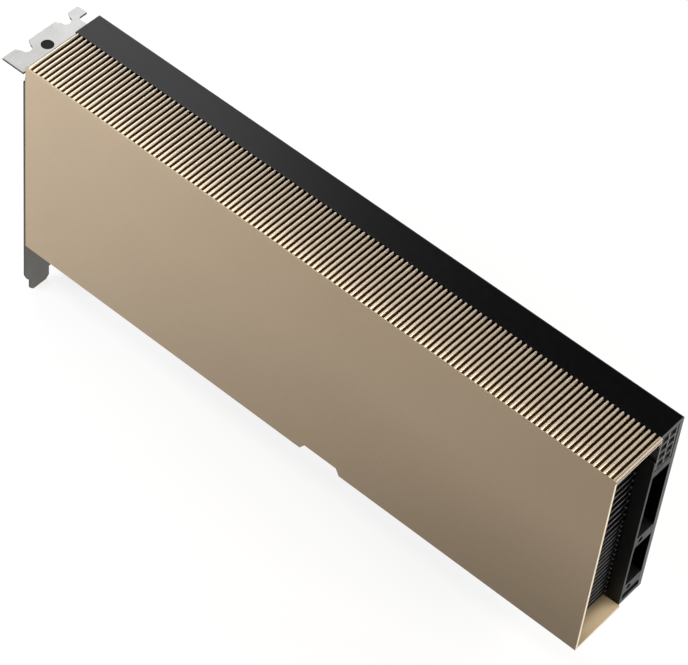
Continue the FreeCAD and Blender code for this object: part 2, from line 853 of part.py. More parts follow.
def make_film():
    body = new_body("film_blank")
    front = f"({BOARD_BACK} + (film_space - film_thickness) / 2)"
    sketch = new_sketch(body, "XZ_Plane", "outline", front)
    across = (f"({BOARD_START} + film_margin)", f"({BOARD_END} - film_margin)")
    low = f"(max({COVER_LOW}; tongue_height) + film_margin)"
    draw_rectangle(sketch, across, (low, f"({BOARD_TOP} - film_margin)"))
    add_pad(body, sketch, "film_thickness")
    through = (BOARD_BACK, COVER_INSIDE)
    drills = [
        drills_through("film_clearances", "shank_sides", BORE_RADIUS, through, post_spots()),
        drills_through("film_holes", "shank_sides", "through_radius", through, EAR_SPOTS),
    ]
    return drilled("insulating_film", body, drills)


def make_baffle():
    """Closes the duct below the cooler, between the shroud and the board."""
    body = new_body("lower_air_baffle")
    start = f"({GOLD_REAR} + baffle_gap)"
    end = f"({BOARD_FRONT} - baffle_gap)"
    sketch = new_sketch(body, "XZ_Plane", "outline", start)
    across = ("(-key_to_bracket + baffle_inset)", BASE_END)
    draw_rectangle(sketch, across, (BAFFLE_LOW, BAFFLE_TOP))
    add_pad(body, sketch, f"{end} - {start}")
    notch = new_sketch(body, "XZ_Plane", "latch_notch", start)
    draw_loop(notch, notch_corners(NOTCH_BELOW, NOTCH_TOP, "0"))
    add_pocket(body, notch, f"{end} - {start}")
    return body


# Rear frame and power socket

def make_rear_frame():
    body = new_body("frame_blank")
    block = new_sketch(body, "YZ_Plane", "block", FRAME_START)
    draw_rectangle(block, (FRAME_FRONT, FRAME_BACK), (FRAME_LOW, FRAME_TOP))
    add_pad(body, block, "frame_length")
    open_back = (FRAME_INSIDE, f"({FRAME_BACK} + frame_wall)")
    bay = new_sketch(body, "YZ_Plane", "bay", COVER_END)
    draw_rectangle(bay, open_back, (BAY_LOW, BAY_TOP))
    add_pocket(body, bay, "frame_length", -1)
    pockets = new_sketch(body, "YZ_Plane", "pockets", COVER_END)
    draw_rectangle(pockets, open_back, (UPPER_POCKET_LOW, UPPER_POCKET_TOP))
    draw_rectangle(pockets, open_back, (LOWER_POCKET_LOW, LOWER_POCKET_TOP))
    draw_rectangle(pockets, open_back, (SLIM_SLOT_LOW, SLIM_SLOT_TOP))
    add_pocket(body, pockets, "pocket_depth", -1)
    corners = [UPPER_POCKET_LOW, UPPER_POCKET_TOP, LOWER_POCKET_LOW, LOWER_POCKET_TOP]
    places = [(FRAME_INSIDE, level) for level in corners]
    ease_edges(body, "Chamfer", "pocket_bevel", 0, places)
    latch_cut = new_sketch(body, "YZ_Plane", "latch_cut", COVER_END)
    latch_levels = (f"({LATCH_CUT_TOP} - latch_cut_height)", LATCH_CUT_TOP)
    draw_rectangle(latch_cut, (f"({FRAME_FRONT} - frame_wall)", FRAME_INSIDE), latch_levels)
    add_pocket(body, latch_cut, "latch_cut_length", -1)
    threads = new_sketch(body, "YZ_Plane", "threads", COVER_END)
    for level in (UPPER_THREAD, LOWER_THREAD):
        draw_circle(threads, THREAD_LINE, level, "tapped_radius")
    add_pocket(body, threads, "thread_depth", -1)
    hole_ends = (f"({FRAME_BACK} - frame_screw_hole)", f"({FRAME_BACK} + drill_overrun)")
    holes = drills_through("frame_holes", "shank_sides", "tapped_radius", hole_ends,
                           FRAME_SCREW_SPOTS)
    return drilled("rear_frame", body, [holes])


def make_power_socket():
    body = new_body("power_socket")
    block = new_sketch(body, "YZ_Plane", "block", SOCKET_START)
    draw_rectangle(block, (SOCKET_FRONT, SOCKET_BACK), (SOCKET_LOW, SOCKET_TOP))
    add_pad(body, block, "socket_length")
    ledge_low = f"({LATCH_MIDDLE} - latch_ledge_width / 2)"
    ledge = new_sketch(body, "XY_Plane", "latch_ledge", ledge_low)
    ledge_end = f"({SOCKET_END} - latch_ledge_inset)"
    ledge_start = f"({ledge_end} - latch_ledge_length)"
    ledge_crest = f"({SOCKET_FRONT} - latch_ledge_height)"
    draw_loop(ledge, [
        (ledge_start, SOCKET_FRONT),
        (ledge_start, ledge_crest),
        (ledge_end, SOCKET_FRONT),
    ])
    add_pad(body, ledge, "latch_ledge_width")
    cells = new_sketch(body, "YZ_Plane", "cells", SOCKET_END)
    ways = new_sketch(body, "YZ_Plane", "pin_ways", SOCKET_START)
    way = "(pin_width + 2 * pin_gap)"
    for column, across, up in socket_spots():
        draw_rectangle(cells, centred(across, "cell_width"), centred(up, "cell_width"))
        draw_rectangle(ways, centred(across, way), centred(up, way))
    add_pocket(body, cells, "cell_depth", -1)
    add_pocket(body, ways, "socket_length")
    return body


def make_power_pins():
    """Square pins that run back over the board and turn down to its pads."""
    pins = []
    pin_end = f"({SOCKET_END} - pin_recess)"
    for index, (column, across, up) in enumerate(socket_spots(), start=1):
        line_start, line_end = centred(pin_line(column), "pin_width")
        near, far = centred(across, "pin_width")
        level = centred(up, "pin_width")
        run = add_block(f"pin_run_{index}", (line_start, pin_end), (near, far), level)
        tail = add_block(f"pin_tail_{index}", (line_start, line_end), (near, BOARD_FRONT), level)
        pins.append(join(f"pin_{index}", [run, tail]))
    return add_group("power_pins", pins)


# Bracket and its insert

def make_bracket():
    body = new_body("bracket_blank")
    add_plate(body)
    add_flange(body)
    add_ears(body)
    add_vents(body)
    plate_ends = (f"({OUTER_FACE} - drill_overrun)", f"({INNER_FACE} + end_gap / 2)")
    ear_ends = (f"({BOARD_FRONT} - plate_thickness - drill_overrun)", BOARD_BACK)
    drills = [
        drills_along("plate_holes", "through_radius", plate_ends, BOSS_SPOTS),
        drills_through("ear_holes", "shank_sides", "tapped_radius", ear_ends, EAR_SPOTS),
    ]
    return drilled("io_bracket", body, drills)


def add_plate(body):
    """The upright plate, with a tongue for each of the two slots at its foot."""
    plate = new_sketch(body, "YZ_Plane", "plate", OUTER_FACE)
    first_left = f"({BRACKET_NEAR} + bracket_tongue_inset)"
    first_right = f"({first_left} + bracket_tongue_width)"
    second_left = f"({first_left} + slot_pitch)"
    second_right = f"({first_right} + slot_pitch)"
    relief_side = f"({BRACKET_NEAR} + relief_width)"
    relief_low = f"({FLANGE_UNDER} - relief_height)"
    rise = f"({SHOULDER} + shoulder_rise)"
    step = f"({SHOULDER} + shoulder_step_up)"
    draw_loop(plate, [
        (relief_side, FLANGE_TOP),
        (relief_side, relief_low),
        (BRACKET_NEAR, relief_low),
        (BRACKET_NEAR, rise),
        (f"({BRACKET_NEAR} + shoulder_step_in)", step),
        (first_left, SHOULDER),
        (first_left, BRACKET_TIP),
        (first_right, BRACKET_TIP),
        (first_right, SHOULDER),
        (second_left, SHOULDER),
        (second_left, BRACKET_TIP),
        (second_right, BRACKET_TIP),
        (second_right, SHOULDER),
        (f"({BRACKET_FAR} - bracket_tongue_inset)", SHOULDER),
        (f"({BRACKET_FAR} - shoulder_step_in)", step),
        (BRACKET_FAR, rise),
        (BRACKET_FAR, FLANGE_TOP),
    ])
    add_pad(body, plate, "plate_thickness")
    sides = (first_left, first_right, second_left, second_right)
    tips = [(side, BRACKET_TIP) for side in sides]
    ease_edges(body, "Chamfer", "bracket_tongue_bevel", 0, tips)


def add_flange(body):
    """The flange bent out over the slots, with two screw notches and a finger at the far end."""
    flange = new_sketch(body, "XY_Plane", "flange", FLANGE_TOP)
    root = f"({BRACKET_NEAR} + flange_root)"
    relief_side = f"({BRACKET_NEAR} + relief_width)"
    finger_inside = f"({FLANGE_TIP} + finger_width)"
    draw_loop(flange, [
        (OUTER_FACE, BRACKET_NEAR),
        (OUTER_FACE, relief_side),
        (INNER_FACE, relief_side),
        (INNER_FACE, root),
        (finger_inside, root),
        (finger_inside, BRACKET_FAR),
        (FLANGE_TIP, BRACKET_FAR),
        (FLANGE_TIP, BRACKET_NEAR),
    ])
    insert_x = "(-key_to_bracket - insert_setback)"
    draw_circle(flange, insert_x, f"({BRACKET_NEAR} + insert_from_edge)", "insert_radius")
    add_pad(body, flange, "plate_thickness", -1)
    mouths = new_sketch(body, "XY_Plane", "notch_mouths", FLANGE_TOP)
    ends = new_sketch(body, "XY_Plane", "notch_ends", FLANGE_TOP)
    outside = f"({FLANGE_TIP} - screw_notch_flare_depth)"
    throat = f"({FLANGE_TIP} + screw_notch_flare_depth)"
    bottom = f"({FLANGE_TIP} + screw_notch_depth - screw_notch_width / 2)"
    for line in NOTCH_LINES:
        near, far = centred(line, "screw_notch_width")
        draw_loop(mouths, [
            (outside, f"({near} - 2 * screw_notch_flare)"),
            (throat, near),
            (bottom, near),
            (bottom, far),
            (throat, far),
            (outside, f"({far} + 2 * screw_notch_flare)"),
        ])
        draw_circle(ends, bottom, line, "screw_notch_width / 2")
    add_pocket(body, mouths, "plate_thickness", -1)
    add_pocket(body, ends, "plate_thickness", -1)
    ease_edges(body, "Fillet", "bend_round", 1, [(INNER_FACE, FLANGE_TOP)])
    finger_corners = [(FLANGE_TIP, BRACKET_FAR), (finger_inside, root)]
    ease_edges(body, "Fillet", "finger_round", 2, finger_corners)


def add_ears(body):
    """Two ears, cut out of the plate and bent in against the board."""
    windows = new_sketch(body, "YZ_Plane", "ear_windows", OUTER_FACE)
    ears = new_sketch(body, "XZ_Plane", "ears", BOARD_FRONT)
    window = (f"({BOARD_FRONT} - ear_length)", f"({BOARD_FRONT} - plate_thickness)")
    for across, up in EAR_SPOTS:
        level = centred(up, "ear_height")
        draw_rectangle(windows, window, level)
        draw_rectangle(ears, (OUTER_FACE, "(-key_to_bracket + ear_length)"), level)
    add_pocket(body, windows, "plate_thickness")
    add_pad(body, ears, "plate_thickness", -1)


def add_vents(body):
    """A column of slots with pointed ends, over the mouth of the duct."""
    slot = new_sketch(body, "YZ_Plane", "vent", OUTER_FACE)
    near = f"({BRACKET_NEAR} + vent_from_edge)"
    far = f"({near} + vent_length)"
    level = "(card_height - vent_first)"
    high = f"({level} + vent_height / 2)"
    low = f"({level} - vent_height / 2)"
    draw_loop(slot, [
        (near, level),
        (f"({near} + vent_height / 2)", low),
        (f"({far} - vent_height / 2)", low),
        (far, level),
        (f"({far} - vent_height / 2)", high),
        (f"({near} + vent_height / 2)", high),
    ])
    cut = add_pocket(body, slot, "plate_thickness")
    copies = "floor((shroud_height - vent_first - vent_last) / vent_pitch) + 1"
    add_row(body, cut, "Z_Axis", "vent_pitch", copies, backward=True)


def make_flange_insert():
    """A plug pressed into the flange's round hole, flush with its underside."""
    foot = (
        "(-key_to_bracket - insert_setback)",
        f"({BRACKET_NEAR} + insert_from_edge)",
        FLANGE_UNDER,
    )
    return add_rod("flange_insert", "insert_radius - insert_gap",
                   "plate_thickness - insert_sink", foot, FreeCAD.Rotation())


# Cooler

def make_heatsink_base():
    body = new_body("base_blank")
    plate = new_sketch(body, "XZ_Plane", "plate", BASE_FRONT)
    cut_start = f"({BASE_END} - socket_cut_length)"
    cut_low = f"({BAY_LOW} - socket_cut_gap)"
    draw_loop(plate, [
        (BASE_START, BASE_LOW),
        (BASE_END, BASE_LOW),
        (BASE_END, cut_low),
        (cut_start, cut_low),
        (cut_start, BASE_TOP),
        (BASE_START, BASE_TOP),
    ])
    add_pad(body, plate, "base_thickness")
    seats = new_sketch(body, "XZ_Plane", "seats", BASE_BACK)
    for index in range(whole("processors")):
        across = centred(processor_x(index), "seat_size")
        draw_rectangle(seats, across, centred(PROCESSOR_Z, "seat_size"))
    add_pad(body, seats, f"{PASTE_FRONT} - {BASE_BACK}")
    posts = new_sketch(body, "XZ_Plane", "posts", BASE_BACK)
    for across, up in post_spots():
        draw_rectangle(posts, centred(across, "post_size"), centred(up, "post_size"))
    add_pad(body, posts, "base_clearance")
    hole_ends = (f"({BOARD_FRONT} - post_hole_depth)", BOARD_BACK)
    holes = drills_through("post_holes", "shank_sides", "tapped_radius", hole_ends, post_spots())
    return drilled("heatsink_base", body, [holes])


def make_cooling_fins():
    """Thin plates along the duct: a close-set lower zone and a wider-set upper zone."""
    across = (BASE_START, f"({FRAME_START} - fin_end_gap)")
    along = (f"({WALL_INSIDE} + fin_gap)", BASE_FRONT)
    fine = whole("fine_fins")
    fine_top = f"({BASE_LOW} + {fine - 1} * fine_fin_pitch)"
    wide = whole(f"floor(({BASE_TOP} - fin_thickness - {fine_top}) / wide_fin_pitch)")
    levels = [f"({BASE_LOW} + {index} * fine_fin_pitch)" for index in range(fine)]
    levels += [f"({fine_top} + {index} * wide_fin_pitch)" for index in range(1, wide + 1)]
    fins = []
    for index, level in enumerate(levels, start=1):
        ends = (level, f"({level} + fin_thickness)")
        fins.append(add_block(f"fin_{index}", across, along, ends))
    return add_group("cooling_fins", fins)


# Processors, memory and the rest of the board's parts

def chip(name, across, up, width, height, y_ends):
    """A flat block on the component side, centred on a place of the board."""
    return add_block(name, centred(across, width), y_ends, centred(up, height))


def make_processor(tag, middle):
    """A processor's carrier and die, and the paste that joins the die to the base."""
    carrier = chip(f"processor_carrier_{tag}", middle, PROCESSOR_Z,
                   "carrier_size", "carrier_size", (CARRIER_FRONT, BOARD_FRONT))
    die = chip(f"processor_die_{tag}", middle, PROCESSOR_Z,
               "die_width", "die_height", (DIE_FRONT, CARRIER_FRONT))
    paste = chip(f"thermal_paste_{tag}", middle, PROCESSOR_Z,
                 "die_width", "die_height", (PASTE_FRONT, DIE_FRONT))
    return [carrier, die, paste]


def make_memory(tag, middle):
    """The four memory chips beside one processor, and the pads that join them to the base."""
    chips = []
    pads = []
    for side in SIDES:
        for level in SIDES:
            across = f"({middle} {side} memory_across)"
            up = f"({PROCESSOR_Z} {level} memory_up)"
            place = len(chips) + 1
            chips.append(chip(f"memory_{tag}_{place}", across, up,
                              "memory_width", "memory_height", (MEMORY_FRONT, BOARD_FRONT)))
            pads.append(chip(f"pad_{tag}_{place}", across, up,
                             "memory_width - pad_margin", "memory_height - pad_margin",
                             (BASE_BACK, MEMORY_FRONT)))
    return [add_group(f"memory_chips_{tag}", chips), add_group(f"memory_pads_{tag}", pads)]


def make_switch():
    """The switch between the card edge and the processors, and its pad."""
    across = processor_x(0.5)
    up = f"({LOW} + switch_rise)"
    switch = chip("switch_chip", across, up, "switch_size", "switch_size",
                  (SWITCH_FRONT, BOARD_FRONT))
    pad = chip("switch_pad", across, up, "switch_size - pad_margin",
               "switch_size - pad_margin", (BASE_BACK, SWITCH_FRONT))
    return [switch, pad]


def make_supply():
    """Chokes, power stages and block capacitors round every processor."""
    chokes = []
    stages = []
    blocks = []
    each = whole("chokes_each")
    choke_ends = (f"({BASE_BACK} + choke_gap)", BOARD_FRONT)
    stage_ends = (f"({BOARD_FRONT} - stage_thickness)", BOARD_FRONT)
    block_ends = (f"({BOARD_FRONT} - block_thickness)", BOARD_FRONT)
    choke_level = f"({PROCESSOR_Z} + choke_rise)"
    stage_level = f"({PROCESSOR_Z} + stage_rise)"
    for index in range(whole("processors")):
        middle = processor_x(index)
        for place in range(each):
            across = f"({middle} + ({place} - {each - 1} / 2) * choke_pitch)"
            tag = f"{index + 1}_{place + 1}"
            chokes.append(chip(f"choke_{tag}", across, choke_level,
                               "choke_size", "choke_size", choke_ends))
            stages.append(chip(f"stage_{tag}", across, stage_level,
                               "stage_size", "stage_size", stage_ends))
        for side in SIDES:
            across = f"({middle} {side} block_across)"
            blocks.append(chip(f"block_{len(blocks) + 1}", across, PROCESSOR_Z,
                               "block_width", "block_height", block_ends))
    return [add_group("chokes", chokes), add_group("power_stages", stages),
            add_group("supply_capacitors", blocks)]


def make_small_chips():
    up = f"({LOW} + switch_rise)"
    across = processor_x(1.5)
    firmware = chip("firmware_chip", across, up, "firmware_width", "firmware_height",
                    (f"({BOARD_FRONT} - firmware_thickness)", BOARD_FRONT))
    crystal = chip("clock_crystal", f"({across} + crystal_step)", up,
                   "crystal_width", "crystal_height",
                   (f"({BOARD_FRONT} - crystal_thickness)", BOARD_FRONT))
    return [firmware, crystal]


# Screws

def make_screw(name, crown, seat, length, turn):
    """One screw: a flat head and its shank."""
    head = add_column(f"{name}_head", "head_sides", "head_radius", "head_height", crown, turn)
    shank = add_column(f"{name}_shank", "shank_sides", "shank_radius", length, seat, turn)
    return join(f"{name}_one", [head, shank])


def screws_from_behind(label, seat, end, spots):
    """Screws whose heads seat at one level of y and whose shanks end at another."""
    crown = ("0", f"({seat} + head_height)", "0")
    screw = make_screw(label, crown, ("0", seat, "0"), f"{seat} - {end}", TOWARD_FRONT)
    places = [(number(across), 0, number(up)) for across, up in spots]
    return copy_to(label, screw, places)


def make_shroud_screws():
    """The two screws that hold the shroud to the bracket."""
    crown = (f"({OUTER_FACE} - head_height)", "0", "0")
    seat = (OUTER_FACE, "0", "0")
    length = f"{SHROUD_START} + shroud_screw_reach - {OUTER_FACE}"
    screw = make_screw("shroud_screws", crown, seat, length, TOWARD_REAR_END)
    places = [(0, number(across), number(up)) for across, up in BOSS_SPOTS]
    return copy_to("shroud_screws", screw, places)


# The card

def build_card():
    parts = [
        make_board(),
        make_contacts("front_contacts", (f"({BOARD_FRONT} - contact_thickness)", BOARD_FRONT)),
        make_contacts("rear_contacts", (BOARD_BACK, f"({BOARD_BACK} + contact_thickness)")),
        make_shroud(),
        make_back_cover(),
        make_film(),
        make_baffle(),
        make_rear_frame(),
        make_power_socket(),
        make_power_pins(),
        make_bracket(),
        make_flange_insert(),
        make_heatsink_base(),
        make_cooling_fins(),
    ]
    for index in range(whole("processors")):
        parts += make_processor(index + 1, processor_x(index))
        parts += make_memory(index + 1, processor_x(index))
    parts += make_switch()
    parts += make_supply()
    parts += make_small_chips()
    behind = [
        ("cooler_screws", BOARD_BACK, f"({BOARD_FRONT} - cooler_screw_reach)", post_spots()),
        ("bracket_screws", HEAD_SEAT, f"({BOARD_FRONT} - bracket_screw_reach)", EAR_SPOTS),
        ("frame_screws", HEAD_SEAT, f"({FRAME_BACK} - frame_screw_reach)", FRAME_SCREW_SPOTS),
    ]
    for label, seat, end, spots in behind:
        parts.append(screws_from_behind(label, seat, end, spots))
    parts.append(make_shroud_screws())
    doc.recompute()
    return parts


def check_card(parts):
    """Stops the build when any object has failed or any piece is not a sound solid."""
    for item in doc.Objects:
        if "Invalid" in item.State or "Error" in item.State:
            raise RuntimeError(f"{item.Label} failed: {item.State}")
    for part in parts:
        shape = part.Shape
        if shape.isNull() or not shape.isValid() or not shape.Solids:
            raise RuntimeError(f"{part.Label} is not a sound solid")


def write_card(parts):
    os.makedirs("parts", exist_ok=True)
    for part in parts:
        part.Shape.exportStep(f"parts/{part.Label}.step")
        print(f"{part.Label}: {len(part.Shape.Solids)} solid(s), {part.Shape.Volume:.1f} mm3")


card = build_card()
check_card(card)
write_card(card)
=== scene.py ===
# %% [markdown]
# # A passive accelerator card
#
# The card is a closed metal duct with a circuit board in it. A gold shroud with a ribbed roof
# covers the component side, a black cover closes the back, a black frame holds the power socket at
# the rear end, and a bent steel bracket fixes the other end. The solids come from the packed
# model. This file gives them their finishes, softens the edges that the eye can see, and adds the
# small parts that are too fine for the solids.

import math

import bmesh
import bpy
from mathutils import Matrix, Quaternion, Vector


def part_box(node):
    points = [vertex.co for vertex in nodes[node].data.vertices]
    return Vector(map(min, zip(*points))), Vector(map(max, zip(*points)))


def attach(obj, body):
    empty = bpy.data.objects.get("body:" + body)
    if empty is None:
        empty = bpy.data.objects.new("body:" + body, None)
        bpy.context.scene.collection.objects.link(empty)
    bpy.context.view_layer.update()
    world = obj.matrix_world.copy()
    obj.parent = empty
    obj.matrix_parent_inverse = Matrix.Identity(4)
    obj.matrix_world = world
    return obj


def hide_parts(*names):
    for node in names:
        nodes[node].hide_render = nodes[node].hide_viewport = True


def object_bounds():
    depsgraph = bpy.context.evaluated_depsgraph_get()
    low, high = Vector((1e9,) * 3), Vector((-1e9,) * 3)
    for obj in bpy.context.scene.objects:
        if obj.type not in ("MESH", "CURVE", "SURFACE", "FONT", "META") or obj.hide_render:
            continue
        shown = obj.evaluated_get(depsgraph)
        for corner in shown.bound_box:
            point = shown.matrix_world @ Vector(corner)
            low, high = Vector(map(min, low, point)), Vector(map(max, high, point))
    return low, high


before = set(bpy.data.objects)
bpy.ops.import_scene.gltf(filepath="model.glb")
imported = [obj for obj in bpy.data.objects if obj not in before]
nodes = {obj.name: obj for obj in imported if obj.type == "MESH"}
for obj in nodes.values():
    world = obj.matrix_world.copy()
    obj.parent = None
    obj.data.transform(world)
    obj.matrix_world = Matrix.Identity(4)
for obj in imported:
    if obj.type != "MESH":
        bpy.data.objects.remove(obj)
cad_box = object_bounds()
print("card loaded:", len(nodes), "nodes")

# %% [markdown]
# Lengths below are written in millimetres, as a maker would, and turned into Blender's metres by
# one helper. The card's own outline is read from the model, so that nothing here has to be
# measured twice.

# %% Millimetres, and the card's own planes
MM = 0.001


def mm(*values):
    """One length, or a point, given in millimetres."""
    scaled = [value * MM for value in values]
    return scaled[0] if len(scaled) == 1 else Vector(scaled)


card_low, card_high = (Vector(corner) for corner in cad_box)
floor_level = card_low.z
roof_top = card_high.z
face_line = card_low.y
rear_end = card_high.x
print("card size in mm:", [round(side / MM, 2) for side in card_high - card_low])

# %% [markdown]
# ## The camera
#
# The picture was taken from the rear end's side, from well above and with a long lens, and the
# camera was rolled a little, so the card runs down the frame. Blender could aim a camera with a
# Track To constraint, but a constraint hides the roll. Here the direction is built from two angles
# and the roll is a last turn about the line of sight. The lamps are aimed by the same helper.

# %% Camera
VIEW_AZIMUTH = math.radians(35.585)
VIEW_ELEVATION = math.radians(49.213)
VIEW_ROLL = math.radians(7.0)
CAMERA_PLACE = (482.77, -578.35, 865.19)
SENSOR_WIDTH = 36.0
FOCAL_LENGTH = 156.18


def add_object(name, data):
    """A new object in the scene."""
    made = bpy.data.objects.new(name, data)
    bpy.context.scene.collection.objects.link(made)
    return made


def aim(thing, direction, roll=0.0):
    """Points a camera or a lamp along a direction and rolls it about that line."""
    thing.rotation_mode = "QUATERNION"
    thing.rotation_quaternion = direction.to_track_quat("-Z", "Y") @ Quaternion((0, 0, 1), roll)


sight = Vector((
    -math.sin(VIEW_AZIMUTH) * math.cos(VIEW_ELEVATION),
    math.cos(VIEW_AZIMUTH) * math.cos(VIEW_ELEVATION),
    -math.sin(VIEW_ELEVATION),
))
camera_data = bpy.data.cameras.new("camera")
camera_data.sensor_fit = "HORIZONTAL"
camera_data.sensor_width = SENSOR_WIDTH
camera_data.lens = FOCAL_LENGTH
camera = add_object("camera", camera_data)
camera.location = mm(*CAMERA_PLACE)
aim(camera, sight, VIEW_ROLL)
bpy.context.scene.camera = camera
bpy.context.scene.view_settings.view_transform = "Standard"
print("camera looks along", [round(part, 3) for part in sight])

# %% [markdown]
# ## Node helpers
#
# Every finish below is a small web of nodes. Writing each link by hand buries the idea of a finish
# under bookkeeping, so one helper places a node, sets its inputs and wires whatever is given as
# another node's output.

# %% Placing nodes
def feed(tree, node, name, value):
    """Sets one input, or links it, by its shown name or its number."""
    socket = node.inputs[name]
    if isinstance(value, bpy.types.NodeSocket):
        tree.links.new(value, socket)
    else:
        socket.default_value = value


def place(tree, kind, settings=None, **inputs):
    """A new node; an input is a plain value or another node's output."""
    node = tree.nodes.new(kind)
    for name, value in (settings or {}).items():
        setattr(node, name, value)
    for name, value in inputs.items():
        feed(tree, node, name.replace("_", " "), value)
    return node


print("node helpers ready:", place.__name__, "and", feed.__name__)

# %% [markdown]
# The nodes that come again and again get a helper each. Some of their sockets share one name, so
# these helpers go by the sockets' numbers, and nothing below has to know them.

# %% Sums, blends and ramps
MIX_SOCKETS = {"FLOAT": (2, 3, 0), "RGBA": (6, 7, 2)}


def math_node(tree, operation, first, second=0.0, third=None, clamp=False):
    node = place(tree, "ShaderNodeMath", {"operation": operation, "use_clamp": clamp})
    feed(tree, node, 0, first)
    feed(tree, node, 1, second)
    if third is not None:
        feed(tree, node, 2, third)
    return node.outputs[0]


def vector_node(tree, operation, first, second):
    node = place(tree, "ShaderNodeVectorMath", {"operation": operation})
    feed(tree, node, 0, first)
    feed(tree, node, 1, second)
    return node.outputs


def blend(tree, share, first, second, kind="RGBA"):
    """Mixes two colours, or two values, by a share from 0 to 1."""
    first_socket, second_socket, mixed = MIX_SOCKETS[kind]
    node = place(tree, "ShaderNodeMix", {"data_type": kind})
    feed(tree, node, 0, share)
    feed(tree, node, first_socket, first)
    feed(tree, node, second_socket, second)
    return node.outputs[mixed]


def ramp(tree, value, low, high, to_low=0.0, to_high=1.0, kind="LINEAR"):
    """Stretches a value that runs from low to high, so that it runs from to_low to to_high."""
    node = place(tree, "ShaderNodeMapRange", {"interpolation_type": kind}, Value=value)
    limits = {"From Min": low, "From Max": high, "To Min": to_low, "To Max": to_high}
    for name, limit in limits.items():
        feed(tree, node, name, limit)
    return node.outputs[0]


print("kinds of blend:", ", ".join(MIX_SOCKETS))

# %% [markdown]
# A finish often has to know which part of the card it is on. Object coordinates are the card's own
# coordinates, because every piece sits at the origin, and the true normal says which way a face
# looks. Both stay with the card when the camera moves.

# %% Where a point is, and which way it looks
def object_place(tree):
    return place(tree, "ShaderNodeTexCoord").outputs["Object"]


def split(tree, vector):
    """A vector's outputs X, Y and Z."""
    return place(tree, "ShaderNodeSeparateXYZ", Vector=vector).outputs


def true_normal(tree):
    return place(tree, "ShaderNodeNewGeometry").outputs["True Normal"]


def shader_of(material):
    return material.node_tree.nodes["Principled BSDF"]


def feeding(shader, name):
    """What is linked to an input of the shader now."""
    return shader.inputs[name].links[0].from_socket


print("place helpers ready:", object_place.__name__, "and", true_normal.__name__)

# %% [markdown]
# Noise could be painted into an image, but an image has edges and a fixed scale. Blender's noise
# nodes have neither. Their values keep to the middle of the range, so a mask made from them is
# stretched between the two limits below.

# %% Shader groups
FLOAT = "NodeSocketFloat"
COLOUR = "NodeSocketColor"
VECTOR = "NodeSocketVector"
NOISE_LOW, NOISE_HIGH = 0.3, 0.7


def new_group(name, inputs, outputs):
    """A shader node group with named sockets, and its two end nodes."""
    group = bpy.data.node_groups.new(name, "ShaderNodeTree")
    for socket, kind, value in inputs:
        made = group.interface.new_socket(socket, in_out="INPUT", socket_type=kind)
        made.default_value = value
    for socket, kind in outputs:
        group.interface.new_socket(socket, in_out="OUTPUT", socket_type=kind)
    print("group made:", name)
    return group, group.nodes.new("NodeGroupInput"), group.nodes.new("NodeGroupOutput")


def noise(tree, where, scale, detail):
    return place(tree, "ShaderNodeTexNoise", Vector=where, Scale=scale, Detail=detail).outputs[0]


# %% [markdown]
# ## Shared effects
#
# Four things recur on the card's surfaces: a fine grain from blasting or moulding, a slow drift of
# tone over a hand's width, the pale line that handling leaves along an edge, and the lines that
# rolling leaves in sheet. Each is a group with named inputs, so a finish only says how much of it
# there is. The grain is two sizes of noise, because a single size looks like sand.

# %% Fine grain
COARSE_SHARE = 0.13
grain_group, start, end = new_group(
    "fine_grain",
    [("Grains per metre", FLOAT, 3000.0), ("Unevenness", FLOAT, 0.5)],
    [("Height", FLOAT), ("Mask", FLOAT)],
)
where = object_place(grain_group)
grains_per_metre = start.outputs["Grains per metre"]
small = noise(grain_group, where, grains_per_metre, detail=2.0)
coarse_scale = math_node(grain_group, "MULTIPLY", grains_per_metre, COARSE_SHARE)
coarse = noise(grain_group, where, coarse_scale, detail=3.0)
uneven = math_node(grain_group, "MULTIPLY", coarse, start.outputs["Unevenness"])
feed(grain_group, end, "Height", math_node(grain_group, "ADD", small, uneven))
feed(grain_group, end, "Mask", coarse)

# %% [markdown]
# Anodised and coated parts are never one tone: the bath and the sheet both leave slow clouds in
# it. A very large noise mixes two close colours.

# %% Tone drift
drift_group, start, end = new_group(
    "tone_drift",
    [("First colour", COLOUR, (0.5, 0.5, 0.5, 1)), ("Second colour", COLOUR, (0.4, 0.4, 0.4, 1)),
     ("Clouds per metre", FLOAT, 12.0)],
    [("Colour", COLOUR)],
)
where = object_place(drift_group)
clouds = noise(drift_group, where, start.outputs["Clouds per metre"], detail=4.0)
share = ramp(drift_group, clouds, NOISE_LOW, NOISE_HIGH)
first, second = start.outputs["First colour"], start.outputs["Second colour"]
feed(drift_group, end, "Colour", blend(drift_group, share, first, second))

# %% [markdown]
# Wear sits where two faces meet. The Bevel node gives the normal that a rounded edge would have,
# and where it differs from the true normal there is an edge close by. A noise breaks the line up,
# because hands and slots don't rub evenly.

# %% Edge wear
BEVEL_SAMPLES = 4
EDGE_GAIN = 5.0
wear_group, start, end = new_group(
    "edge_wear",
    [("Reach", FLOAT, 0.0003), ("Amount", FLOAT, 0.6), ("Breaks per metre", FLOAT, 260.0)],
    [("Mask", FLOAT)],
)
rounded = place(wear_group, "ShaderNodeBevel", {"samples": BEVEL_SAMPLES},
                Radius=start.outputs["Reach"]).outputs[0]
likeness = vector_node(wear_group, "DOT_PRODUCT", rounded, true_normal(wear_group))["Value"]
turned = math_node(wear_group, "SUBTRACT", 1.0, likeness, clamp=True)
near_edge = math_node(wear_group, "MULTIPLY", turned, EDGE_GAIN, clamp=True)
where = object_place(wear_group)
breaks = noise(wear_group, where, start.outputs["Breaks per metre"], detail=5.0)
broken = math_node(wear_group, "MULTIPLY", breaks, near_edge)
worn = math_node(wear_group, "MULTIPLY", broken, start.outputs["Amount"], clamp=True)
feed(wear_group, end, "Mask", worn)

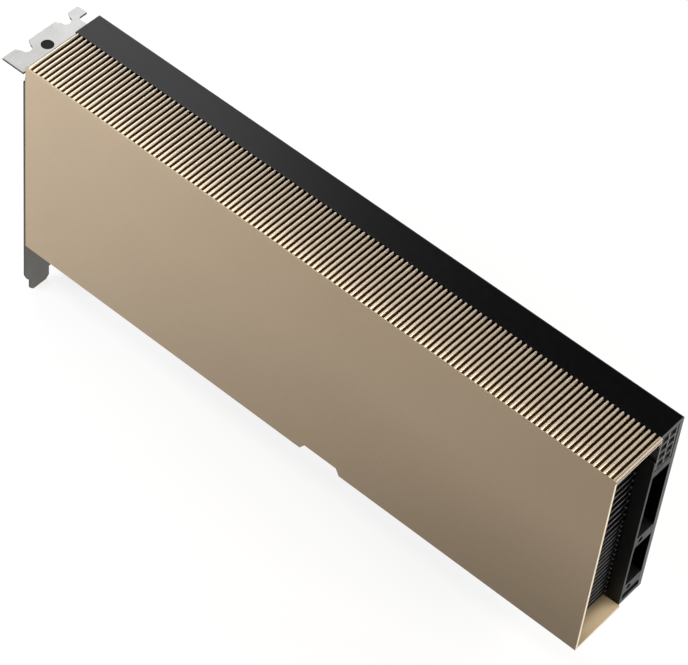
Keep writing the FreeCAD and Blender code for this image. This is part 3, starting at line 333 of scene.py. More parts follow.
# %% [markdown]
# Rolled sheet has lines that all run one way. Noise gives lines when its space is squeezed along
# them, and the squeeze is a vector, so the same group can run the lines along any axis.

# %% Brushed lines
brush_group, start, end = new_group(
    "brushed_lines",
    [("Squeeze", VECTOR, (1.0, 1.0, 1.0)), ("Lines per metre", FLOAT, 2500.0)],
    [("Height", FLOAT)],
)
where = object_place(brush_group)
squeezed = vector_node(brush_group, "MULTIPLY", where, start.outputs["Squeeze"])[0]
lines = noise(brush_group, squeezed, start.outputs["Lines per metre"], detail=3.0)
feed(brush_group, end, "Height", lines)

# %% [markdown]
# ## A finish
#
# All the card's finishes are one shader with different numbers, so one function makes the common
# part: two tones that drift, a roughness that follows the grain, a bump and a worn edge, which is
# also a little smoother. The numbers that are the same all over are set straight on the shader's
# sockets, where other programs find them too.

# %% The common part of a finish
GRAIN_DEPTH = 0.05
RUBBED_SMOOTH = -0.15


def set_group(tree, group, **inputs):
    """Puts a shared effect into a material, with its own values."""
    node = tree.nodes.new("ShaderNodeGroup")
    node.node_tree = group
    for name, value in inputs.items():
        feed(tree, node, name.replace("_", " "), value)
    return node.outputs


def finish(name, tones, roughness, metallic=0.0, grain=(3000.0, 0.5), bump=0.02, clouds=12.0,
           worn=None, wear=0.0, reach=0.3, coat=0.0):
    """A material: two tones, a roughness range, a grain and a worn edge's colour and amount."""
    material = bpy.data.materials.new(name)
    material.use_nodes = True
    tree = material.node_tree
    shader = shader_of(material)
    feed(tree, shader, "Metallic", metallic)
    feed(tree, shader, "Coat Weight", coat)
    colour = set_group(tree, drift_group, First_colour=(*tones[0], 1),
                       Second_colour=(*tones[1], 1), Clouds_per_metre=clouds)["Colour"]
    grains = set_group(tree, grain_group, Grains_per_metre=grain[0], Unevenness=grain[1])
    dullness = ramp(tree, grains["Mask"], NOISE_LOW, NOISE_HIGH, *roughness)
    if worn:
        edges = set_group(tree, wear_group, Reach=mm(reach), Amount=wear)["Mask"]
        colour = blend(tree, edges, colour, (*worn, 1))
        rubbed = math_node(tree, "MULTIPLY", edges, RUBBED_SMOOTH)
        dullness = math_node(tree, "ADD", dullness, rubbed, clamp=True)
    raised = place(tree, "ShaderNodeBump", Height=grains["Height"], Strength=bump,
                   Distance=mm(GRAIN_DEPTH)).outputs[0]
    feed(tree, shader, "Base Color", colour)
    feed(tree, shader, "Roughness", dullness)
    feed(tree, shader, "Normal", raised)
    print("finish made:", name)
    return material


def wear_it(material, *names):
    """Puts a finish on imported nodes, on the object's own slots."""
    for name in names:
        node = nodes[name]
        if not node.material_slots:
            node.data.materials.append(material)
        for slot in node.material_slots:
            slot.link = "OBJECT"
            slot.material = material
    print(material.name, "on", ", ".join(names))


# %% [markdown]
# ## Gold shroud
#
# The shroud is an aluminium channel, blasted with fine beads and anodised in a pale champagne
# gold. The blasting leaves an even satin that shows no brush lines. The dyed oxide scatters a part
# of the light before it reaches the metal, so Metallic is well below 1, and the oxide's own
# surface is a weak clear coat, which makes the lit end of the face paler than the other.

# %% Shroud finish
OXIDE_METALLIC = 0.62
OXIDE_COAT = 0.25
OXIDE_COAT_ROUGHNESS = 0.4
shroud_finish = finish(
    "champagne_anodised_satin",
    tones=((0.282, 0.206, 0.130), (0.260, 0.189, 0.117)),
    roughness=(0.42, 0.48), metallic=OXIDE_METALLIC, grain=(4200.0, 0.4), bump=0.10, clouds=9.0,
    worn=(0.62, 0.52, 0.40), wear=0.35, reach=0.15, coat=OXIDE_COAT,
)
shroud_tree = shroud_finish.node_tree
shroud_shader = shader_of(shroud_finish)
feed(shroud_tree, shroud_shader, "Coat Roughness", OXIDE_COAT_ROUGHNESS)
print("shroud: metallic", OXIDE_METALLIC, "and coat", OXIDE_COAT)

# %% [markdown]
# Some places on the shroud differ from the rest, and all of them can be told from the place alone.
# So no map has to be painted: a few tests on the object's own coordinates, and on the way a face
# looks, give a mask for each. These are the tests.

# %% Tests for places on the shroud
def beyond(socket, limit):
    return math_node(shroud_tree, "GREATER_THAN", socket, limit)


def short_of(socket, limit):
    return math_node(shroud_tree, "LESS_THAN", socket, limit)


def both(first, second):
    return math_node(shroud_tree, "MULTIPLY", first, second)


def fade(socket, low, high):
    return ramp(shroud_tree, socket, low, high, kind="SMOOTHSTEP")


def below_roof(depth):
    return roof_top - mm(depth)


def from_rear(distance):
    return rear_end - mm(distance)


spot = split(shroud_tree, object_place(shroud_tree))
looks = split(shroud_tree, true_normal(shroud_tree))
print("in mm: roof's top at z", round(roof_top / MM, 2), "rear end at x", round(rear_end / MM, 2))

# %% [markdown]
# The grooves between the ribs are painted almost black, as painted shade where the light doesn't
# get down to their floor. The ribs' crests are painted paler, as a painted highlight. A thin paler
# line runs round the rear opening on the cut face: partly the bare metal of the cut, partly a
# painted highlight. Just within the opening the lower wall is painted pale and matt, as a painted
# pool of light.

# %% Grooves, crests, cut end and inside
ROOF_DEPTH = 1.6            # ribs and grooves lie within this of the top
FACE_SKIN = 0.33            # the gold face's own edge, which is neither rib nor groove
GROOVE_FADE = (0.40, 1.10)  # depths below the top: from no groove to full groove
CREST_FADE = (0.55, 0.25)   # depths below the top: from no crest to full crest
CUT_SKIN = 0.25             # the cut face lies within this of the rear end
CUT_TOP = 1.5               # and starts this far below the roof's top
LIT_WALL_FADE = (11, 2)       # distances from the rear end: from no painted light to full painted light
LOWER_HALF = 60             # the lower wall is more than this below the top
LOOKS_ALONG = 0.5           # a face looks along an axis when its normal's part is above this

behind_face = beyond(spot["Y"], face_line + mm(FACE_SKIN))
on_roof = both(beyond(spot["Z"], below_roof(ROOF_DEPTH)), behind_face)
# painted shade: the grooves' floor and lower walls are marked here and painted near black
shaded_groove = both(fade(spot["Z"], *(below_roof(depth) for depth in GROOVE_FADE)), on_roof)
# painted highlight: the rib crests are marked here and painted paler
crest_highlight = both(fade(spot["Z"], *(below_roof(depth) for depth in CREST_FADE)), on_roof)
# the rear cut face takes a paler tint: partly the bare metal of the cut, partly a painted highlight
rear_face = both(beyond(spot["X"], from_rear(CUT_SKIN)), beyond(looks["X"], LOOKS_ALONG))
cut_end_metal_and_highlight = both(rear_face, short_of(spot["Z"], below_roof(CUT_TOP)))
near_end = fade(spot["X"], *(from_rear(distance) for distance in LIT_WALL_FADE))
# painted light: the lower wall just within the rear opening is painted pale and matt
lower_wall = both(beyond(looks["Z"], LOOKS_ALONG), short_of(spot["Z"], below_roof(LOWER_HALF)))
painted_lit_wall = both(lower_wall, near_end)
print("masks on the shroud: grooves, crests, cut end, inside")

# %% [markdown]
# The face is painted darker towards the lower rear corner, as painted shade. Two slow ramps,
# along the card and down it, mix a darker tint in. Then each place takes its own tint, one blend
# after the other. The grooves and the painted lit wall have no clear coat: the grooves reflect as
# plain metal, and the lit wall as matt paint would.

# %% Painted shade on the face, and the tints
SHADE_RAMP_ALONG = (-60, 260)     # along the card, from no painted shade to full
SHADE_START_OVER_ROOF = 10         # the painted shade begins to deepen this far above the roof
LOW_REAR_SHADE_SHARE = 0.9
ALONG_SHADE_SHARE = 0.24

# painted shade: darker along the card, and darker down the face towards the rear
shade_ramp_along_card = fade(spot["X"], *(mm(distance) for distance in SHADE_RAMP_ALONG))
shade_ramp_down_face = fade(spot["Z"], roof_top + mm(SHADE_START_OVER_ROOF), floor_level)
painted_low_rear_shade = math_node(shroud_tree, "MULTIPLY", both(shade_ramp_along_card, shade_ramp_down_face), LOW_REAR_SHADE_SHARE)
painted_along_shade = math_node(shroud_tree, "MULTIPLY", shade_ramp_along_card, ALONG_SHADE_SHARE)
# tints in order: painted shade, painted crest highlight, painted groove shade, painted lit wall,
# and the cut end's bare metal and painted highlight
place_tints = (
    (math_node(shroud_tree, "MAXIMUM", painted_low_rear_shade, painted_along_shade), (0.090, 0.055, 0.016, 1)),
    (crest_highlight, (0.66, 0.55, 0.42, 1)),
    (shaded_groove, (0.060, 0.037, 0.017, 1)),
    (painted_lit_wall, (0.55, 0.43, 0.28, 1)),
    (cut_end_metal_and_highlight, (0.66, 0.56, 0.43, 1)),
)
tint = feeding(shroud_shader, "Base Color")
for mask, colour in place_tints:
    tint = blend(shroud_tree, mask, tint, colour)
feed(shroud_tree, shroud_shader, "Base Color", tint)
no_coat = math_node(shroud_tree, "MAXIMUM", shaded_groove, painted_lit_wall)
coat_left = math_node(shroud_tree, "MULTIPLY_ADD", no_coat, -OXIDE_COAT, OXIDE_COAT)
feed(shroud_tree, shroud_shader, "Coat Weight", coat_left)
metal_left = math_node(shroud_tree, "MULTIPLY_ADD", painted_lit_wall, -OXIDE_METALLIC, OXIDE_METALLIC)
metal_shown = math_node(shroud_tree, "MAXIMUM", metal_left, shaded_groove)
feed(shroud_tree, shroud_shader, "Metallic", metal_shown)
print("tints mixed into the shroud's own:", len(place_tints))

# %% [markdown]
# ## Black cover, baffle and rear frame
#
# The back cover and the baffle are black anodised sheet, the rear frame is a machined or cast part
# with a matt black coat. The cover keeps a weak, broad reflection, which is why the top strip
# fades from grey to black along the card. The frame's corners show paler through the coat.

# %% Black finishes
FRAME_SPECULAR = 0.2
cover_finish = finish(
    "black_anodised_sheet",
    tones=((0.0185, 0.0178, 0.0183), (0.0152, 0.0147, 0.0150)),
    roughness=(0.29, 0.35), metallic=1.0, grain=(3600.0, 0.5), bump=0.08, clouds=7.0,
    worn=(0.22, 0.21, 0.20), wear=0.25, reach=0.2,
)
frame_finish = finish(
    "black_coated_frame",
    tones=((0.0070, 0.0070, 0.0072), (0.0050, 0.0050, 0.0052)),
    roughness=(0.36, 0.46), grain=(2600.0, 0.8), bump=0.16, clouds=30.0,
    worn=(0.16, 0.16, 0.155), wear=0.45, reach=0.2,
)
shader_of(frame_finish).inputs["Specular IOR Level"].default_value = FRAME_SPECULAR
baffle_finish = finish(
    "black_anodised_baffle",
    tones=((0.030, 0.030, 0.032), (0.024, 0.024, 0.026)),
    roughness=(0.42, 0.52), metallic=1.0, grain=(3600.0, 0.5), bump=0.08,
)
wear_it(baffle_finish, "lower_air_baffle")

# %% [markdown]
# ## Bracket
#
# The bracket is cold-rolled steel, 0.95 mm thick, stamped, bent and then nickel plated. Plating is
# bright but it copies the rolling lines of the sheet, so the brushed group runs its lines up the
# plate's height. They only add a weak bump, since a plated part is smoother than a brushed one.

# %% Bracket finish
ROLLING_SQUEEZE = (1.0, 1.0, 0.03)
ROLLING_LINES = 4200.0
ROLLING_DEPTH = 0.04
ROLLING_STRENGTH = 0.06
bracket_finish = finish(
    "nickel_plated_steel",
    tones=((0.228, 0.221, 0.213), (0.206, 0.199, 0.191)),
    roughness=(0.27, 0.37), metallic=1.0, grain=(1500.0, 0.6), bump=0.03, clouds=25.0,
    worn=(0.85, 0.84, 0.82), wear=0.3, reach=0.2,
)
bracket_tree = bracket_finish.node_tree
bracket_shader = shader_of(bracket_finish)
rolling = set_group(bracket_tree, brush_group, Squeeze=ROLLING_SQUEEZE,
                    Lines_per_metre=ROLLING_LINES)["Height"]
rolled = place(bracket_tree, "ShaderNodeBump", Height=rolling, Strength=ROLLING_STRENGTH,
               Distance=mm(ROLLING_DEPTH), Normal=feeding(bracket_shader, "Normal")).outputs[0]
feed(bracket_tree, bracket_shader, "Normal", rolled)
print("rolling lines per metre on the bracket:", ROLLING_LINES)

# %% [markdown]
# The sheared edges are torn by the tool and stay dark, and the side towards the card is painted
# darker, as painted shade.
# They are told from the outer face by the way they look: on the plate the sheet's faces look along
# X, and on the flange they look along Z. The flange begins just under its round insert.

# %% Sheared edges and painted shade on the inner side
UNDER_INSERT = 0.3          # the flange begins this far under its insert
SHEARED_BELOW = 0.4         # a sheared edge's normal has less than this across the sheet
# the next colour is painted shade for the faces that look towards the card
SHADED_SIDE_TINT = (0.115, 0.108, 0.100, 1)
SHEARED_STEEL = (0.055, 0.053, 0.050, 1)
insert_low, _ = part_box("flange_insert")
height = split(bracket_tree, object_place(bracket_tree))["Z"]
looks = split(bracket_tree, true_normal(bracket_tree))
on_flange = math_node(bracket_tree, "GREATER_THAN", height, insert_low.z - mm(UNDER_INSERT))
flat_up = math_node(bracket_tree, "ABSOLUTE", looks["Z"])
flat_along = math_node(bracket_tree, "ABSOLUTE", looks["X"])
flatness = blend(bracket_tree, on_flange, flat_along, flat_up, kind="FLOAT")
sheared = math_node(bracket_tree, "LESS_THAN", flatness, SHEARED_BELOW)
# painted shade: the faces looking towards the card are painted darker
shaded_inner_side = math_node(bracket_tree, "GREATER_THAN", looks["X"], LOOKS_ALONG)
plated = blend(bracket_tree, shaded_inner_side, feeding(bracket_shader, "Base Color"), SHADED_SIDE_TINT)
steel = blend(bracket_tree, sheared, plated, SHEARED_STEEL)
feed(bracket_tree, bracket_shader, "Base Color", steel)
print("flange begins at z", round(insert_low.z / MM - UNDER_INSERT, 2), "mm")

# %% [markdown]
# The round insert in the flange is a black moulded plug. It reflects very little, so it reads as a
# dark spot in the bright steel.

# %% Plug finish
PLUG_SPECULAR = 0.08
plug_finish = finish(
    "moulded_plug",
    tones=((0.010, 0.010, 0.011), (0.007, 0.007, 0.008)),
    roughness=(0.55, 0.70), grain=(1800.0, 0.6), bump=0.1,
)
shader_of(plug_finish).inputs["Specular IOR Level"].default_value = PLUG_SPECULAR
wear_it(plug_finish, "flange_insert")

# %% [markdown]
# ## Cooler
#
# The cooler's base and fins are aluminium with a dark finish. From the rear opening the fins
# show as black, and the thin lit edges in front of it are painted highlights, made further down.
# The foil is smooth, and its grain is only just there.

# %% Cooler finish
cooler_finish = finish(
    "dark_fin_stock",
    tones=((0.045, 0.045, 0.047), (0.034, 0.034, 0.036)),
    roughness=(0.35, 0.45), metallic=1.0, grain=(2400.0, 0.5), bump=0.05,
)
wear_it(cooler_finish, "heatsink_base", "cooling_fins")

# %% [markdown]
# ## Power socket and pins
#
# The socket is a glass-filled black moulding: fine, slightly mottled and never quite matt. Its
# pins are tinned brass.

# %% Socket finishes
socket_finish = finish(
    "glass_filled_moulding",
    tones=((0.030, 0.030, 0.031), (0.022, 0.022, 0.023)),
    roughness=(0.36, 0.55), grain=(2200.0, 0.9), bump=0.14, clouds=90.0,
    worn=(0.09, 0.09, 0.09), wear=0.4, reach=0.2,
)
pin_finish = finish(
    "tinned_brass",
    tones=((0.78, 0.72, 0.58), (0.70, 0.64, 0.50)),
    roughness=(0.22, 0.34), metallic=1.0, grain=(1600.0, 0.4), bump=0.04, clouds=120.0,
)
wear_it(pin_finish, "power_pins")

# %% [markdown]
# ## Circuit board
#
# The board is a pressed laminate of glass cloth and resin under a dark solder mask. The mask is
# glossy and slightly wavy, because it flows over the tracks below it. The tracks are written as a
# stepped wave, which lifts the mask in straight lines, and a coarse pattern of cells breaks them
# up into fields, as on a real board.

# %% Board finish and tracks
TRACK_SCALE = 190.0
TRACK_STEP = 0.55
FIELD_SCALE = 60.0
FIELD_STEP = 0.35
TRACK_HEIGHT = 0.03
TRACK_STRENGTH = 0.25
board_finish = finish(
    "solder_mask_on_laminate",
    tones=((0.012, 0.030, 0.020), (0.009, 0.024, 0.016)),
    roughness=(0.24, 0.34), grain=(900.0, 0.6), bump=0.03, clouds=40.0,
)
board_tree = board_finish.node_tree
board_shader = shader_of(board_finish)
where = object_place(board_tree)
tracks = place(board_tree, "ShaderNodeTexWave", {"wave_type": "BANDS", "bands_direction": "X"},
               Vector=where, Scale=TRACK_SCALE, Distortion=0.0).outputs["Fac"]
fields = place(board_tree, "ShaderNodeTexVoronoi", {"distance": "CHEBYCHEV"},
               Vector=where, Scale=FIELD_SCALE).outputs["Distance"]
on_track = math_node(board_tree, "GREATER_THAN", tracks, TRACK_STEP)
in_field = math_node(board_tree, "GREATER_THAN", fields, FIELD_STEP)
drawn = math_node(board_tree, "MULTIPLY", on_track, in_field)
lifted = place(board_tree, "ShaderNodeBump", Height=drawn, Strength=TRACK_STRENGTH,
               Distance=mm(TRACK_HEIGHT), Normal=feeding(board_shader, "Normal")).outputs[0]
feed(board_tree, board_shader, "Normal", lifted)
print("tracks lifted by", TRACK_HEIGHT, "mm")

# %% [markdown]
# The cut edge of the board shows the bare laminate. The board's flat faces and its cut edges are
# told apart by the normal: only the faces look along Y. The contacts on the tongue are hard gold
# over copper, on both sides.

# %% Board's colours and contacts
TRACK_SHARE = 0.5
TRACK_GREEN = (0.030, 0.062, 0.042, 1)
LAMINATE = (0.24, 0.22, 0.11, 1)
FLAT_FACE = 0.6
board_normal = split(board_tree, place(board_tree, "ShaderNodeNewGeometry").outputs["Normal"])
on_face = math_node(board_tree, "GREATER_THAN",
                    math_node(board_tree, "ABSOLUTE", board_normal["Y"]), FLAT_FACE)
track_share = math_node(board_tree, "MULTIPLY", drawn, TRACK_SHARE)
tracked = blend(board_tree, track_share, feeding(board_shader, "Base Color"), TRACK_GREEN)
feed(board_tree, board_shader, "Base Color", blend(board_tree, on_face, LAMINATE, tracked))
wear_it(board_finish, "circuit_board")
contact_finish = finish(
    "hard_gold_contacts",
    tones=((0.83, 0.60, 0.25), (0.78, 0.55, 0.22)),
    roughness=(0.18, 0.30), metallic=1.0, grain=(1400.0, 0.5), bump=0.03, clouds=60.0,
)
wear_it(contact_finish, "front_contacts", "rear_contacts")

# %% [markdown]
# ## Parts under the cooler
#
# These are hidden in the closed card but are there when it is opened. First the four processors
# and what touches them: moulded chips have a fine sandy resin, bare dies are polished silicon with
# a faint coat, and the pads and the paste carry the heat to the cooler's base.

# %% Chips, dies, carriers, pads and paste
def each_of_four(name):
    """The names of the nodes that come once for each processor."""
    return [f"{name}_{number}" for number in range(1, 5)]


resin_finish = finish(
    "chip_resin", tones=((0.030, 0.030, 0.032), (0.024, 0.024, 0.026)),
    roughness=(0.45, 0.60), grain=(2600.0, 0.6), bump=0.12,
)
silicon_finish = finish(
    "polished_silicon", tones=((0.16, 0.16, 0.19), (0.13, 0.13, 0.16)),
    roughness=(0.06, 0.12), metallic=1.0, grain=(600.0, 0.3), bump=0.01, coat=0.5,
)
carrier_finish = finish(
    "carrier_laminate", tones=((0.018, 0.075, 0.036), (0.014, 0.060, 0.030)),
    roughness=(0.30, 0.42), grain=(1200.0, 0.5), bump=0.04,
)
pad_finish = finish(
    "silicone_pad", tones=((0.30, 0.36, 0.43), (0.26, 0.32, 0.39)),
    roughness=(0.70, 0.85), grain=(1500.0, 0.9), bump=0.15,
)
paste_finish = finish(
    "heat_paste", tones=((0.40, 0.40, 0.40), (0.34, 0.34, 0.34)),
    roughness=(0.50, 0.70), grain=(700.0, 1.2), bump=0.3,
)
wear_it(resin_finish, "switch_chip", "power_stages", "firmware_chip", *each_of_four("memory_chips"))
wear_it(silicon_finish, *each_of_four("processor_die"))
wear_it(carrier_finish, *each_of_four("processor_carrier"))
wear_it(pad_finish, "switch_pad", *each_of_four("memory_pads"))
wear_it(paste_finish, *each_of_four("thermal_paste"))

# %% [markdown]
# The supply's chokes are pressed metal powder, its capacitors are moulded blocks, the clock sits in
# a plated can, and a matt plastic film keeps the back cover off the board.

# %% Chokes, capacitors, can and film
choke_finish = finish(
    "pressed_powder", tones=((0.13, 0.13, 0.135), (0.10, 0.10, 0.105)),
    roughness=(0.50, 0.70), grain=(1900.0, 0.9), bump=0.25,
)
capacitor_finish = finish(
    "moulded_capacitor", tones=((0.16, 0.12, 0.055), (0.12, 0.09, 0.042)),
    roughness=(0.35, 0.50), grain=(1800.0, 0.6), bump=0.08,
)
can_finish = finish(
    "plated_can", tones=((0.62, 0.61, 0.59), (0.56, 0.55, 0.53)),
    roughness=(0.20, 0.32), metallic=1.0, grain=(1500.0, 0.4), bump=0.03,
)
film_finish = finish(
    "insulating_film", tones=((0.030, 0.030, 0.030), (0.024, 0.024, 0.024)),
    roughness=(0.45, 0.60), grain=(1100.0, 0.5), bump=0.05,
)
wear_it(choke_finish, "chokes")
wear_it(capacitor_finish, "supply_capacitors")
wear_it(can_finish, "clock_crystal")
wear_it(film_finish, "insulating_film")

# %% [markdown]
# ## Softened edges
#
# A real edge is never sharp: it is broken, bent or blasted, and the thin line of light along it
# tells the eye what the part is made of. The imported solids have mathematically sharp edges. A
# bevel shader could fake the line, but not the outline, so the visible pieces are remade here: the
# solid's triangles are joined up into flat faces again, and its edges get a small real bevel.

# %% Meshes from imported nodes, and their bevels
SAME_POINT = 0.0005
SAME_PLANE = math.radians(0.4)
REAL_EDGE = math.radians(25)
ROUND_PROFILE = 0.5


def welded_mesh(node):
    """A copy of the node's mesh whose triangles share their corners."""
    shape = bmesh.new()
    shape.from_mesh(nodes[node].data)
    bmesh.ops.remove_doubles(shape, verts=shape.verts, dist=mm(SAME_POINT))
    return shape


def bevel(shape, edges, width, segments=2):
    bmesh.ops.bevel(shape, geom=edges, offset=mm(width), offset_type="OFFSET", segments=segments,
                    profile=ROUND_PROFILE, affect="EDGES", clamp_overlap=True)


def soften(shape, width, segments, wanted):
    """Bevels every real edge, or those of them that the test picks."""
    picked = [
        edge for edge in shape.edges
        if len(edge.link_faces) == 2 and edge.calc_face_angle() > REAL_EDGE
        and (wanted is None or wanted(edge))
    ]
    bevel(shape, picked, width, segments)
    return len(picked)


print("edges sharper than", round(math.degrees(REAL_EDGE)), "degrees are softened")

# %% [markdown]
# Every piece made here becomes part of the card in the same way. It rides on the card's body and
# names the material slot that it takes its finish from. Its faces are smooth shaded, edges over 50
# degrees stay sharp, and weighted normals keep the large faces flat in the shading.

# %% Keeping a piece
SHARP_OVER = math.radians(50)


def mesh_of(shape, name, material):
    """Turns a finished bmesh into a mesh with its material."""
    mesh = bpy.data.meshes.new(name)
    shape.to_mesh(mesh)
    shape.free()
    mesh.materials.append(material)
    return mesh


def keep_piece(name, shape, material):
    """Turns a finished bmesh into a piece of the card that rides on its body."""
    mesh = mesh_of(shape, name, material)
    for polygon in mesh.polygons:
        polygon.use_smooth = True
    mesh.set_sharp_from_angle(angle=SHARP_OVER)
    piece = add_object(name, mesh)
    weighted = piece.modifiers.new("flat faces stay flat", "WEIGHTED_NORMAL")
    weighted.keep_sharp = True
    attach(piece, "root")
    print(name, "has", len(mesh.polygons), "faces")
    return piece


def softened_piece(node, material, width, segments=2, wanted=None):
    """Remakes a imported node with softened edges, and puts the new piece in its place."""
    shape = welded_mesh(node)
    bmesh.ops.dissolve_limit(shape, angle_limit=SAME_PLANE, verts=shape.verts, edges=shape.edges)
    print(node, "gets", soften(shape, width, segments, wanted), "softened edges")
    piece = keep_piece(f"{node}_finished", shape, material)
    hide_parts(node)


# %% [markdown]
# ## Ribs
#
# The shroud's roof is milled or cast in fine ribs with rounded crests, and the eye reads each
# crest as one bright line. The solid has flat crests with a flat bevel on each side. Bevelling
# those four edges again, with three steps, turns each crest into a rounded one. The shroud's other
# edges are thin sheet and stay as they are.

# %% Shroud with rounded ribs
CREST_DEPTH = 0.36
CREST_LENGTH = 20
STRAIGHT = 0.01


def on_crest(edge):
    """Edges across the roof, at the height of the rib crests."""
    first, second = (corner.co for corner in edge.verts)
    across = abs(first.y - second.y) > mm(CREST_LENGTH)
    straight = abs(first.x - second.x) < mm(STRAIGHT)
    return across and straight and min(first.z, second.z) > below_roof(CREST_DEPTH)


softened_piece("shroud", shroud_finish, 0.13, segments=3, wanted=on_crest)

# %% [markdown]
# The cover and the bracket are sheet, and their cut edges are only broken a little. The frame is
# thicker and gets the widest bevel. The socket is moulded and has the small radius of its mould.

# %% Cover, frame, socket and bracket with softened edges
softened_piece("back_cover", cover_finish, 0.12)
softened_piece("rear_frame", frame_finish, 0.15)
softened_piece("power_socket", socket_finish, 0.10)
softened_piece("io_bracket", bracket_finish, 0.10)

# %% [markdown]
# ## Screws
#
# The card is closed by small flat-headed machine screws, blackened and driven with a six-lobed
# key. The solids hold plain blocks in their place. Each block's place is found by walking over its
# edges from corner to corner, until no corner is left that hangs on to it.

# %% Where the screws are
def islands(node):
    """The lowest and highest corner of each separate solid of a node."""
    shape = welded_mesh(node)
    waiting = set(shape.verts)
    found = []
    while waiting:
        front = [waiting.pop()]
        members = []
        while front:
            corner = front.pop()
            members.append(corner.co.copy())
            for edge in corner.link_edges:
                other = edge.other_vert(corner)
                if other in waiting:
                    waiting.remove(other)
                    front.append(other)
        low = Vector([min(point[axis] for point in members) for axis in range(3)])
        high = Vector([max(point[axis] for point in members) for axis in range(3)])
        found.append((low, high))
    shape.free()
    return sorted(found, key=lambda pair: (pair[0].x, pair[0].z))


for node in ("cooler_screws", "bracket_screws", "frame_screws", "shroud_screws"):
    print(node, "has", len(islands(node)), "solids")

# %% [markdown]
# A screw is a turned part, so it is made as rings of points from the recess outwards and down the
# shank. Blender's Screw modifier could turn a profile too, but the recess isn't round: its lobes
# are a wave on the radius of three of the rings. The table gives each ring's radius, its height
# over the head's seat and the height of its lobes.

# %% Turning a screw
RING_POINTS = 48
LOBES = 6
HEAD_HEIGHT = 1.2
SHANK_RADIUS = 1.15


def ring(shape, radius, height, lobe=0.0):
    """One ring of points round the screw's axis, with a wave of lobes on its radius."""
    corners = []
    for step in range(RING_POINTS):
        angle = 2 * math.pi * step / RING_POINTS
        reach = radius + lobe * math.cos(LOBES * angle)
        point = mm(reach * math.cos(angle), reach * math.sin(angle), height)
        corners.append(shape.verts.new(point))
    return corners


def turn_screw(shape, head_radius, shank_length, turn):
    """A screw whose head's seat is at the origin and whose shank runs down its own -Z."""
    profile = [
        (0.30, HEAD_HEIGHT - 0.85),                 # the recess's floor
        (0.95, HEAD_HEIGHT - 0.80, 0.14),           # foot of its wall
        (0.98, HEAD_HEIGHT - 0.08, 0.15),           # top of its wall
        (1.06, HEAD_HEIGHT, 0.15),                  # its broken edge
        (head_radius - 0.28, HEAD_HEIGHT - 0.01),   # the head's top, slightly domed
        (head_radius - 0.10, HEAD_HEIGHT - 0.07),
        (head_radius, HEAD_HEIGHT - 0.26),          # the head's side
        (head_radius, 0.06),
        (head_radius - 0.06, 0.0),                  # the seat
        (SHANK_RADIUS, 0.0),                        # the shank
        (SHANK_RADIUS, 0.25 - shank_length),
        (SHANK_RADIUS - 0.25, -shank_length),       # its chamfered end
    ]
    rings = [ring(shape, *row) for row in profile]
    for upper, lower in zip(rings, rings[1:]):
        for step in range(RING_POINTS):
            after = (step + 1) % RING_POINTS
            shape.faces.new((upper[step], lower[step], lower[after], upper[after]))
    shape.faces.new(rings[0])
    shape.faces.new(list(reversed(rings[-1])))
    points = [corner for circle in rings for corner in circle]
    bmesh.ops.transform(shape, matrix=turn, verts=points)


print("points in each ring of a screw:", RING_POINTS)

# %% [markdown]
# Each screw is turned in the place of its solid. The sizes are read from that solid: along the
# screw's axis it is as long as head and shank together, and across it is as wide as the head. Most
# screws look to the back of the card, and the shroud's own look to the bracket.

# %% Screws in their places
HEAD_PLAY = 0.03
TO_BACK = Matrix.Rotation(math.radians(-90), 4, "X")
TO_BRACKET = Matrix.Rotation(math.radians(-90), 4, "Y")
screw_finish = finish(
    "blackened_screw_steel", tones=((0.11, 0.11, 0.115), (0.085, 0.085, 0.09)),
    roughness=(0.26, 0.38), metallic=1.0, grain=(1900.0, 0.5), bump=0.05, clouds=200.0,
    worn=(0.42, 0.42, 0.42), wear=0.5, reach=0.15,
)


def set_screws(node, axis, turn):
    """All the screws of a node, as one piece."""
    shape = bmesh.new()
    for low, high in islands(node):
        head_radius = (high.z - low.z) / 2 / MM - HEAD_PLAY
        length = (high - low)[axis] / MM
        seat = (low + high) / 2
        seat[axis] = high.y - mm(HEAD_HEIGHT) if axis == 1 else low.x + mm(HEAD_HEIGHT)
        turn_screw(shape, head_radius, length - HEAD_HEIGHT, Matrix.Translation(seat) @ turn)
    bmesh.ops.recalc_face_normals(shape, faces=shape.faces)
    piece = keep_piece(f"{node}_turned", shape, screw_finish)
    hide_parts(node)


for node in ("cooler_screws", "bracket_screws", "frame_screws"):
    set_screws(node, 1, TO_BACK)
set_screws("shroud_screws", 0, TO_BRACKET)

# %% [markdown]
# ## Small parts by the card edge
#
# Just above the card-edge tongue, between the slot and the shroud, a real board carries a row of
# tiny ceramic capacitors for the data lines that leave the card. They are blocks 1 mm long with a
# metal cap on each end, and they sit on the board's front face, below the shroud's lower edge.
# Blocks this small come from one helper, which also breaks their edges.

# %% Coupling capacitors
BODY = (0.50, 0.46, 0.52)
CAP = (0.54, 0.50, 0.24)
BODY_EDGE = 0.03
CAP_EDGE = 0.05
CAP_OVERLAP = 0.02
FIRST_CAPACITOR = 3.4
CAPACITOR_PITCH = 2.0
CAPACITORS = 33
CAPACITOR_LEVEL = 11.4


def add_softened_block(shape, size, middle, edge):
    """A small block with broken edges; sizes in millimetres along x, y and z."""
    made = bmesh.ops.create_cube(shape, size=1.0)["verts"]
    bmesh.ops.scale(shape, vec=mm(*size), verts=made)
    bmesh.ops.translate(shape, vec=mm(*middle), verts=made)
    bevel(shape, list({edge for corner in made for edge in corner.link_edges}), edge)


